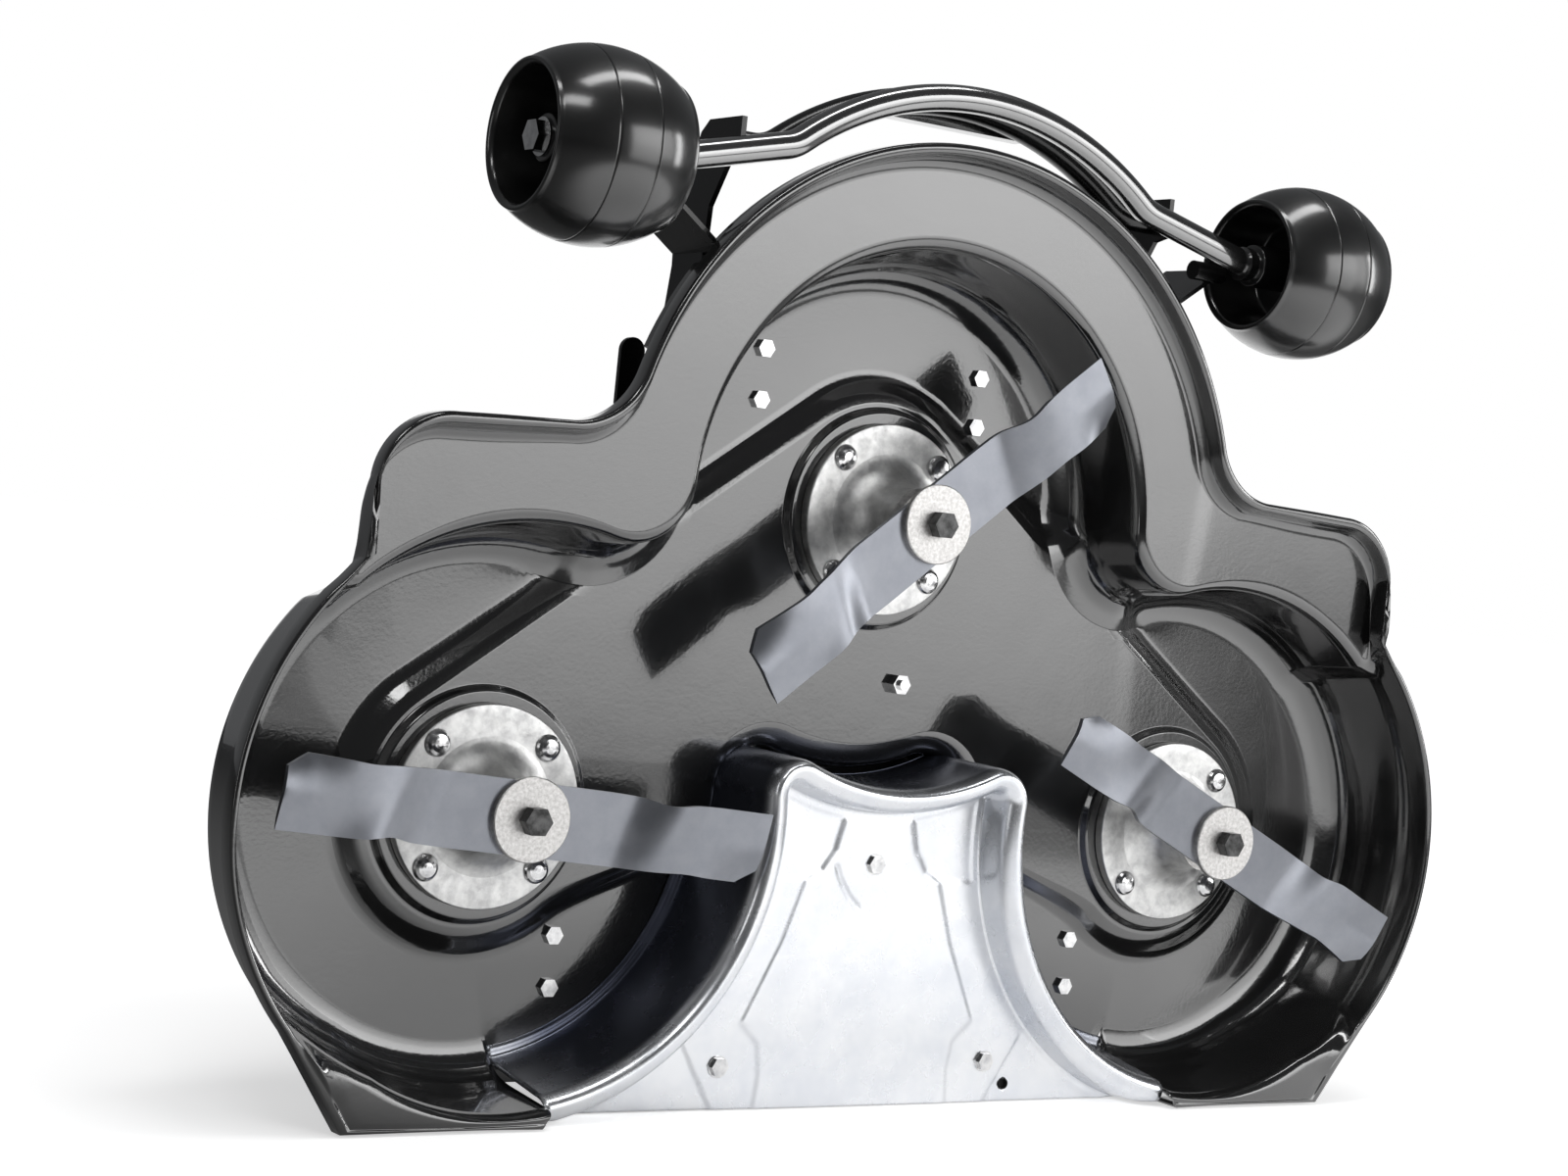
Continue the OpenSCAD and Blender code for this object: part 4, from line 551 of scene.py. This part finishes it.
# the ridge: its middle off the chamber's wall, level where it starts, height, half its width inside
RIDGE_AT, RIDGE_Z, RIDGE_H, RIDGE_IN = 3.5, 57.0, 18.0, 15.0
hb = math.sqrt((CH_R + BAF_COR) ** 2 - (SPAN / 2) ** 2)
BKK = (MIDP[0] - ACROSS[0] * hb, MIDP[1] - ACROSS[1] * hb)
B_KR, B_KC = bearing(sub(RR, BKK)), bearing(sub(CC, BKK))
B_A1, B_A2 = bearing(sub(BKK, RR)) - 360, bearing(sub(BKK, CC))
b1, b2, b3 = 12, 17, 22  # steps round the side chamber, the corner and the centre chamber
def baf_rear(off):
    return BAF_REAR + BAF_MORE * clamp((off + 30.0) / 56.0)
def baf_start(r, off):
    k = baf_rear(off)
    return deg(math.asin(k / r)) - 180 if r * math.sin(rad(-WEB_END)) > k else WEB_END
def baf_xy(i, off):
    r = CH_R + off
    if i <= b1: return polar(RR, r, mix(baf_start(r, off), B_A1, i / b1))
    if i <= b2: return polar(BKK, BAF_COR - off, mix(B_KR, B_KC, (i - b1) / (b2 - b1)))
    return polar(CC, r, mix(B_A2, -90, (i - b2) / (b3 - b2)))
def baf_col(i):
    q = clamp((i - b1 + 2) / 2)
    low = mix(-RING + ZINC, -RING - MIDDLE / 2, q)
    wl = mix(11.0, 7.0, q)
    prof = [(mix(-30, -5, q), low), (mix(-19, -4.5, q), low), (RIDGE_AT - wl, RIDGE_Z)]
    prof = round_poly(prof, [0, mix(7.0, 0.4, q), 0], 5)
    for a in range(-80, 91, 10):
        half = wl if a <= 0 else RIDGE_IN
        prof.append((RIDGE_AT + half * math.sin(rad(a)), RIDGE_Z + RIDGE_H * math.cos(rad(a))))
    tail = round_poly([prof[-1], (20.8, BAF_Z), (26.5, BAF_Z)], [0, 4.0, 0], 5)
    prof += tail[1:]
    return [(*baf_xy(i, o), z) for o, z in prof]

# embossed outlines on its floor
def seg_dist(p, a, b):
    ax, ay, bx, by = *a, *b
    dx, dy = bx - ax, by - ay
    t = clamp(((p[0] - ax) * dx + (p[1] - ay) * dy) / (dx * dx + dy * dy))
    return math.hypot(p[0] - ax - dx * t, p[1] - ay - dy * t)
def poly_dist(p, poly):
    """Distance from the outline, positive inside it."""
    d = min(seg_dist(p, a, b) for a, b in zip(poly, poly[1:] + poly[:1]))
    c = False
    for (ax, ay), (bx, by) in zip(poly, poly[1:] + poly[:1]):
        if (ay > p[1]) != (by > p[1]) and p[0] < (bx - ax) * (p[1] - ay) / (by - ay) + ax:
            c = not c
    return d if c else -d
half_panel = [(39.8, 30), (39.8, 3.4), (46.2, -21.5), (58.3, -39.8), (74.3, -50.5), (93.1, -105.9),
              (127.5, -178.5), (108.1, -197.1), (104.0, -225.0), (108.3, -275.0)]
PANEL = half_panel + [(-x, y) for x, y in reversed(half_panel)]
half_pocket = [(36.0, 30), (36.0, 3.4), (43, -23), (56.3, -41.8), (72.3, -49.5), (125.0, -49.5), (140, 30)]
POCKET = [half_pocket, [(-x, y) for x, y in reversed(half_pocket)]]
CORNER = [[(190.1, -188.6), (147.6, -260.0), (330, -260.0), (330, -188.6)],
          [(-190.1, -188.6), (-330, -188.6), (-330, -260.0), (-147.6, -260.0)]]
ARC = [(-41.3, -37.9), (-37.5, -47.0), (-32.9, -54.6), (-25.0, -65.0), (-14.7, -73.9)]
# heights of the panel, the pockets, the corners and the arc, and widths of a slope and of a sharp one
PANEL_UP, POCKET_UP, CORNER_UP, ARC_UP, SLOPE, SHARP = 1.2, 0.9, 1.8, 1.0, 6.0, 4.0
def emboss(p):
    """How far the floor stands out at a place."""
    h = PANEL_UP * soft(poly_dist(p, PANEL) / SLOPE + 0.5)
    if p[1] > -60:
        h -= POCKET_UP * max(soft(poly_dist(p, k) / SLOPE + 0.5) for k in POCKET)
    if p[1] < -170:
        h -= CORNER_UP * max(soft(poly_dist(p, k) / SHARP + 0.5) for k in CORNER)
    if -50 < p[0] < -5 and -85 < p[1] < -28:
        h -= ARC_UP * soft(1 - min(seg_dist(p, a, b) for a, b in zip(ARC, ARC[1:])) / SHARP)
    return h

PROBE = 1.5
def crease(p):
    """How steep the embossing is at a place; the creases get painted shade by it."""
    h = emboss(p)
    return math.hypot(emboss((p[0] + PROBE, p[1])) - h, emboss((p[0], p[1] + PROBE)) - h) / PROBE

def near_segs(c, loop):
    """The sides of the outline that lie near a place."""
    segs = [(loop[k][:2], loop[k + 1][:2]) for k in range(len(loop) - 1)
            if abs(loop[k][0] - c[0]) < NEAR and abs(loop[k][1] - c[1]) < NEAR]
    return segs or [((1e4, 0), (1e4, 1))]

OUTER_N = 6  # points of a column on the outer wall
PAINTED_SHADE_TONES = 0.12, 0.17, 0.55  # painted shade: how dark the inner wall is painted, and the most and the strength of it in the creases
NEAR, EASE = 14, 5.0  # how near the outline counts, and where the embossing dies out before it
REAR_N, GRID, GAP = 90, 2.1, 1.2  # sides of the rear edge, spacing of points, their first gap
HOLE, HOLE_R, HOLE_N = (174.0, -239.2), 4.8, 24  # a small drain hole
def baffle_mesh():
    bm = bmesh.new()
    steps = [k / 6 for k in range(b1 * 6)] + [b1 + k / 5 for k in range((b3 - b1) * 5 + 1)]
    cols = [baf_col(i) for i in steps]
    cols += [[(-x, y, z) for x, y, z in c] for c in reversed(cols[:-1])]
    shade = bm.verts.layers.float.new("shade")
    vs = [[bm.verts.new(P(*p)) for p in c] for c in cols]
    # painted shade and reflection: the outer wall is darkened as if it mirrored the black deck, a little
    # less toward its ends, and the inner wall slightly
    for n, c in enumerate(vs):
        inland = 0.6 + 0.4 * soft(min(n, len(vs) - 1 - n) / 14.0)
        for k, v in enumerate(c):
            outer = inland * soft((OUTER_N + 5 - k) / 6.0)
            v[shade] = max(outer, PAINTED_SHADE_TONES[0] * soft((k - 17.0) / 5.0) * soft((len(c) - 1 - k) / 4.0))
    for a, b in zip(vs, vs[1:]):
        for k in range(len(a) - 1):
            bm.faces.new([a[k], b[k], b[k + 1], a[k + 1]])
    loop = [c[-1] for c in cols]
    lv = [v[-1] for v in vs]
    # the straight rear edge of the floor
    rear = [mix2(loop[-1], loop[0], k / REAR_N) for k in range(1, REAR_N)]
    border = [(p[0], p[1]) for p in loop] + rear
    lv = lv + [None] * len(rear)
    # rows of points over the floor
    pts = list(border)
    ys = [p[1] for p in border]
    y = min(ys) + 2.0
    while y < max(ys):
        xs = []
        for (ax, ay), (bx, by) in zip(border, border[1:] + border[:1]):
            if (ay > y) != (by > y):
                xs.append((bx - ax) * (y - ay) / (by - ay) + ax)
        xs.sort()
        for xa, xb in zip(xs[::2], xs[1::2]):
            m = int((xb - xa - 2 * GAP) // GRID)
            for k in range(m + 1):
                pts.append((xa + GAP + (xb - xa - 2 * GAP) * k / max(m, 1), y))
        y += GRID
    # the drain hole's outline is kept, and what lies inside it is left out
    pts = pts[:len(border)] + [p for p in pts[len(border):] if norm(sub(p, HOLE)) > HOLE_R + 0.8]
    first = len(pts)
    pts += [polar(HOLE, HOLE_R, 360 / HOLE_N * k) for k in range(HOLE_N)]
    edges = [(first + k, first + (k + 1) % HOLE_N) for k in range(HOLE_N)]
    out = delaunay_2d_cdt([Vector(p) for p in pts], edges, [list(range(len(border)))], 1, 1e-5)
    co, faces, src = out[0], out[2], out[3]
    made = []
    for k, c in enumerate(co):
        o = src[k][0] if src[k] else -1
        if 0 <= o < len(lv) and lv[o] is not None:
            made.append(lv[o])
            continue
        q = (c[0], c[1])
        e = emboss(q) if o >= 0 else 0.0
        fade = soft(min(seg_dist(q, a, b) for a, b in near_segs(q, loop)) / EASE) if e else 1.0
        v = bm.verts.new(P(*q, BAF_Z + e * fade))
        if o >= 0:
            # painted shade in the embossing's creases, by how steep they are
            v[shade] = min(PAINTED_SHADE_TONES[1], PAINTED_SHADE_TONES[2] * crease(q)) * fade
        made.append(v)
    for f in faces:
        mid = (sum(co[k][0] for k in f) / len(f), sum(co[k][1] for k in f) / len(f))
        if norm(sub(mid, HOLE)) < HOLE_R:
            continue
        add_face(bm, [made[k] for k in f])
    face_viewer(bm)
    return bm

baffle = new_object("discharge_baffle_form", baffle_mesh(), "zinc_sheet", "deck", 50)
thicken(baffle, ZINC)
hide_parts("discharge_baffle")

# painted shade: a dark cup closes the drain hole and stands for the shadow inside it
bm = bmesh.new()
shade_cup = [(0, 31.0), (HOLE_R - 0.4, 31.0), (HOLE_R - 0.2, 34.5), (HOLE_R + 0.3, 35.6)]
lathe(bm, (*HOLE, 0), round_poly(shade_cup, [0, 0.4, 0.4, 0], 4), 32)
close_up(bm)
new_object("drain_hole_shade_cup", bm, "belt_rubber", "deck", 35)

# ---------------------------------------------------------------- blades
# length, width, thickness, how far the ends are bent, level, lift of the trailing wings
BL, BW, BT, BDROP, BZ, LIFT = 456.0, 62.0, 5.0, 14.0, 70.0, 12.0
BEND_AT, BEND_LEN, BEND_SLANT, TWIST = 86.0, 50.0, 0.3, 4.0  # the bend toward the ground
GROUND, EDGE_T = 12.0, 1.0  # width of the ground cutting edge and thickness at its end
# stations along half a blade: place, leading and trailing edge, share of the wing
XS = [0, 0.2, 0.34, 0.46, 0.56, 0.66, 0.76, 0.90, 0.978, 1]
LEAD = [1, 1, 1, 0.97, 0.86, 0.97, 1, 1, 1, 1]
TRAIL = [1, 1, 1, 0.99, 0.97, 0.93, 0.97, 1, 0.62, -0.97]
WING = [0, 0, 0, 0, 0, 0, 0.15, 0.75, 1, 1]
LAST = len(XS) - 1
def catmull(l, x):
    k = min(int(x), len(l) - 2)
    t = x - k
    p0, p1, p2, p3 = l[max(k - 1, 0)], l[k], l[k + 1], l[min(k + 2, len(l) - 1)]
    return 0.5 * (2 * p1 + (p2 - p0) * t + (2 * p0 - 5 * p1 + 4 * p2 - p3) * t * t
                  + (3 * p1 - p0 - 3 * p2 + p3) * t ** 3)
def linear(l, x):
    k = min(int(x), len(l) - 2)
    return mix(l[k], l[k + 1], x - k)
def edge_at(l, x):
    """A blade's edge: smooth at the hub and the waist, with straight sides and corners outside them."""
    return BW / 2 * (linear(l, x) if x > 6 else catmull(l, x))
ACROSS_N = 14
def blade_mesh(c, turn_deg):
    bm = bmesh.new()
    ca, sa = math.cos(rad(turn_deg)), math.sin(rad(turn_deg))
    def put(x, y, z, half):
        if half < 0:
            x, y = -x, -y
        return bm.verts.new(P(c[0] + x * ca - y * sa, c[1] + x * sa + y * ca, z))
    def section(x, half):
        u = BL / 2 * linear(XS, x)
        l, t = edge_at(LEAD, x), edge_at(TRAIL, x)
        w = LIFT * clamp(catmull(WING, x))
        e = mix(BT, EDGE_T, clamp((x - 5.2) / 0.4))
        top, low = [], []
        for k in range(ACROSS_N + 1):
            y = mix(l, -t, k / ACROSS_N)
            f = clamp(-y / (BW / 2))
            lift = w * (0.35 * f + 0.65 * f * f)
            # the bend toward the ground runs aslant, with a twist in it
            g = (u - BEND_SLANT * y - BEND_AT) / BEND_LEN
            z = BZ + BDROP * soft(g) + TWIST * math.exp(-(1.8 * (g - 0.9)) ** 2) * (y / (BW / 2))
            thick = BT if y < l - GROUND else mix(e, BT, clamp((l - y) / GROUND))
            top.append(put(u, y, z - lift + BT, half))
            low.append(put(u, y, z - lift + BT - thick, half))
        if half < 0:
            top.reverse()
            low.reverse()
        return top + low[::-1]
    n = LAST * 6
    secs = [section(LAST * k / n, -1) for k in range(n, 0, -1)]
    secs += [section(LAST * k / n, 1) for k in range(n + 1)]
    for a, b in zip(secs, secs[1:]):
        m = len(a)
        for k in range(m):
            bm.faces.new([a[k], a[(k + 1) % m], b[(k + 1) % m], b[k]])
    for s in (secs[0], secs[-1]):
        m = len(s)
        for k in range(m // 2 - 1):
            bm.faces.new([s[k], s[k + 1], s[m - 2 - k], s[m - 1 - k]])
    bmesh.ops.recalc_face_normals(bm, faces=bm.faces)
    return bm
CORNER_DEG, WEAR = 38, 0.5  # an edge sharper than this angle is worn by this much
for name, turn_deg in (("left", -4.6), ("centre", 39.0), ("right", -25.0)):
    o = new_object("blade_%s_form" % name, blade_mesh(SPOTS[name], turn_deg), "blade_steel",
                   "spindle_" + name, CORNER_DEG)
    bv = o.modifiers.new("worn_edges", "BEVEL")
    bv.width, bv.segments, bv.limit_method, bv.angle_limit = WEAR * MM, 2, "ANGLE", rad(CORNER_DEG)
    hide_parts("blade_" + name)

# ---------------------------------------------------------------- cast spindle housings
# the bell under the bearings, as shares of the way in and of its height
NOSE_IN, NOSE_UP = (0, 0.18, 0.4, 0.62, 0.8, 0.93, 1), (0, 0.04, 0.12, 0.25, 0.42, 0.66, 0.9)
NOSE_R, TOP_R, TOP_Z, NOSE_N = 60.0, 30.0, 50.0, 36
def housing_mesh(c):
    bm = bmesh.new()
    stations = [6 * k / NOSE_N for k in range(NOSE_N + 1)]
    nose = [(mix(NOSE_R, TOP_R, catmull(NOSE_IN, x)), TOP_Z * catmull(NOSE_UP, x)) for x in stations]
    low = round_poly([(26, -33), (26, -50), (43, -50), (43, -11), (87.5, -11), (87.5, 0), (75, 0)],
                     [0, 0.6, 2, 2, 2, 1.6, 0], 4)
    ring = round_poly([(75, 0), nose[0], nose[1]], [0, 8, 0], 4)
    top = round_poly([nose[-1], (30, 50), (26, 50), (26, 33), (22, 33), (22, -33), (26, -33)],
                     [0, 1.2, 0.6, 0.2, 0.2, 0.2, 0], 3)
    prof = low + ring[1:-1] + nose[1:-1] + top
    lathe(bm, (c[0], c[1], 0), prof, 128)
    close_up(bm)
    return bm
for name, c in SPOTS.items():
    o = new_object("housing_%s_form" % name, housing_mesh(c), "cast_alloy", "deck", 40)
    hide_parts("housing_" + name)

# ---------------------------------------------------------------- gauge wheels
# half its width, half the tread's, radius in the middle and at the tread's ends, and its place
WH_H, TREAD_H, WH_R, TREAD_R = 65.0, 61.0, 82.0, 63.0
WH_X, WH_Y, WH_Z = 390.0, 552.0, 85.0
CROWN_R = (TREAD_H * TREAD_H + (WH_R - TREAD_R) ** 2) / (2 * (WH_R - TREAD_R))
LINES, LINE_W, LINE_DEEP = (-19.0, 19.0), 0.9, 0.55  # two fine lines round the tread
BORE_R, HUB_R, HUB_IN, HUB_OUT, WEB_H = 8.05, 20.0, -59.7, 44.0, 6.0
def tread(y):
    r = WH_R - CROWN_R + math.sqrt(CROWN_R * CROWN_R - y * y)
    for g in LINES:
        r -= LINE_DEEP * clamp(1 - abs(y - g) / LINE_W)
    return (r, y)
def wheel_mesh(s):
    bm = bmesh.new()
    outer = []
    for k in range(-61, 62):
        outer.append(tread(float(k)))
        if k in (-20, -19, 18, 19):
            outer += [tread(float(k) + g) for g in (0.4, 0.7)]
    side = [(50.0, WEB_H), (56.0, 62.0), (59.0, WH_H), (62.0, WH_H), (outer[0][0], TREAD_H)]
    ins = [(BORE_R, HUB_IN), (HUB_R, HUB_IN), (HUB_R, -WEB_H)] + [(r, -y) for r, y in side]
    outs = side[::-1] + [(HUB_R, WEB_H), (HUB_R, HUB_OUT), (BORE_R, HUB_OUT)]
    prof = round_poly(ins, [0, 1.5, 4.0, 4.0, 4.0, 1.0, 2.5, 0], 4) + outer[1:-1]
    prof += round_poly(outs, [0, 2.5, 1.0, 4.0, 4.0, 4.0, 1.5, 0], 4) + [(BORE_R, HUB_IN)]
    lathe(bm, (s * WH_X, WH_Y, WH_Z), [(r, s * y) for r, y in prof], 128, "x")
    close_up(bm)
    return bm
for name, s in (("left", -1), ("right", 1)):
    o = new_object("wheel_%s_form" % name, wheel_mesh(s), "wheel_plastic", "gauge_wheel_" + name, 40)
    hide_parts("wheel_" + name)

# ---------------------------------------------------------------- floor, light and background
BEHIND = (0.551, 0.834, 0.0)  # the camera's direction over the ground
BEHIND_COS = (0.91, 0.98)  # how near to it the white behind the object starts and is full
def join(nt, op, a, b):
    m = node(nt, "Math", operation=op)
    nt.links.new(a, m.inputs[0])
    nt.links.new(b, m.inputs[1])
    return m.outputs[0]

def seen_by(nt, place, near=None):
    """Where the white shows: to the camera everywhere, to gloss and glass near by and behind the object."""
    lp = node(nt, "LightPath")
    u = node(nt, "VectorMath", operation="NORMALIZE")
    d = node(nt, "VectorMath", {1: BEHIND}, operation="DOT_PRODUCT")
    nt.links.new(place, u.inputs[0])
    nt.links.new(u.outputs[0], d.inputs[0])
    where = span(nt, d.outputs["Value"], *BEHIND_COS, 0.0, 1.0, "SMOOTHSTEP")
    if near is not None:
        where = join(nt, "MAXIMUM", where, near)
    ray = join(nt, "MAXIMUM", lp.outputs["Is Glossy Ray"], lp.outputs["Is Transmission Ray"])
    return join(nt, "MAXIMUM", lp.outputs["Is Camera Ray"], join(nt, "MULTIPLY", ray, where))

def mixed(nt, out, fac, a, b):
    """Leads a mix of two shaders to an output node."""
    mx = node(nt, "MixShader")
    for k, socket in enumerate((fac, a, b)):
        nt.links.new(socket, mx.inputs[k])
    nt.links.new(mx.outputs[0], node(nt, out).inputs[0])

bpy.context.scene.view_settings.view_transform = "Standard"

# The floor is white to the camera and near the object, and a darker ground elsewhere.
FLOOR_HALF, FLOOR_Z = 30, -0.0005
GLOW, GLOW_FROM = (0.55, 1.0), (0.5, 1.25)  # its own light, by the distance from the middle
FRONT, FRONT_FROM = (0.5, -1.0, 0.0), (1.0, 1.5)  # the place in front that gloss sees, and how far
fm = bpy.data.materials.new("floor")
nt = tree(fm)
place = node(nt, "TexCoord").outputs["Object"]
far = node(nt, "VectorMath", operation="LENGTH")
nt.links.new(place, far.inputs[0])
front = node(nt, "VectorMath", {1: FRONT}, operation="DISTANCE")
nt.links.new(place, front.inputs[0])
near = span(nt, front.outputs["Value"], *FRONT_FROM, 1.0, 0.0, "SMOOTHSTEP")
ground = node(nt, "BsdfDiffuse", {0: (0.3, 0.3, 0.3, 1)})
pale = node(nt, "BsdfDiffuse", {0: (0.95, 0.95, 0.95, 1)})
glow = node(nt, "Emission", {0: (1, 1, 1, 1)})
nt.links.new(span(nt, far.outputs["Value"], *GLOW_FROM, *GLOW), glow.inputs[1])
white = node(nt, "AddShader")
nt.links.new(pale.outputs[0], white.inputs[0])
nt.links.new(glow.outputs[0], white.inputs[1])
mixed(nt, "OutputMaterial", seen_by(nt, place, near), ground.outputs[0], white.outputs[0])

bm = bmesh.new()
for x, y in ((-1, -1), (1, -1), (1, 1), (-1, 1)):
    bm.verts.new((x * FLOOR_HALF, y * FLOOR_HALF, FLOOR_Z))
bm.faces.new(bm.verts)
floor = add_mesh("floor", bm, fm)

# The world is white where it is seen, and to the rest a dim room, a little brighter behind the object.
ROOM, ROOM_FROM = (0.07, 0.14), (-0.35, 0.5)
world = bpy.data.worlds.new("world")
bpy.context.scene.world = world
nt = tree(world)
place = node(nt, "TexCoord").outputs["Generated"]
white = node(nt, "Background", {0: (1, 1, 1, 1), 1: 1.0})
room = node(nt, "Background", {0: (0.95, 0.97, 1.0, 1)})
parts = node(nt, "SeparateXYZ")
nt.links.new(place, parts.inputs[0])
nt.links.new(span(nt, parts.outputs["Y"], *ROOM_FROM, *ROOM, "SMOOTHSTEP"), room.inputs[1])
mixed(nt, "OutputWorld", seen_by(nt, place), room.outputs[0], white.outputs[0])

def area(name, place, target, size, radiance):
    """A soft box of an even brightness, in scene units where 1 is white."""
    l = bpy.data.lights.new(name, "AREA")
    l.shape = "RECTANGLE"
    l.size, l.size_y = size
    l.energy = radiance * math.pi * size[0] * size[1]
    o = bpy.data.objects.new(name, l)
    bpy.context.scene.collection.objects.link(o)
    o.location = place
    o.rotation_euler = (Vector(target) - Vector(place)).to_track_quat("-Z", "Y").to_euler()
    return l

def graded(l, stops):
    """Grades a soft box from its lower edge to its upper one."""
    l.use_nodes = True
    nt = l.node_tree
    parts = node(nt, "SeparateXYZ")
    nt.links.new(node(nt, "NewGeometry").outputs["Parametric"], parts.inputs[0])
    grades = ramp(nt, parts.outputs["Y"], [(p, grey(v)) for p, v in stops])
    nt.links.new(grades, nt.nodes["Emission"].inputs[0])

MIDDLE_OF_DECK = (0, 0, 0.45)
PANEL_Z, PANEL_H = 0.875, 2.45  # the two panels that the flat faces mirror to the camera
graded(area("panel", (1.64, -2.96, PANEL_Z), (0, 0, PANEL_Z), (1.95, PANEL_H), 3.6),
       [(0, 0.22), (0.10, 0.26), (0.204, 0.47), (0.306, 0.58), (0.47, 0.67), (0.633, 0.92), (1, 1)])
graded(area("panel_right", (2.78, -2.20, PANEL_Z), (0, 0, PANEL_Z), (0.9, PANEL_H), 2.6),
       [(0.15, 0.0), (0.30, 0.35), (0.45, 0.8), (1, 1)])
for name, place, size, radiance in (("key", (-1.7, -2.0, 3.0), (1.2, 0.6), 6.0),
                                    ("top", (0.2, -0.5, 3.0), (2.4, 0.4), 7.0),
                                    ("side", (-3.0, -0.9, 0.8), (0.35, 1.8), 2.5),
                                    ("rim", (3.1, -1.25, 1.15), (0.45, 1.5), 8.0)):
    area(name, place, MIDDLE_OF_DECK, size, radiance)
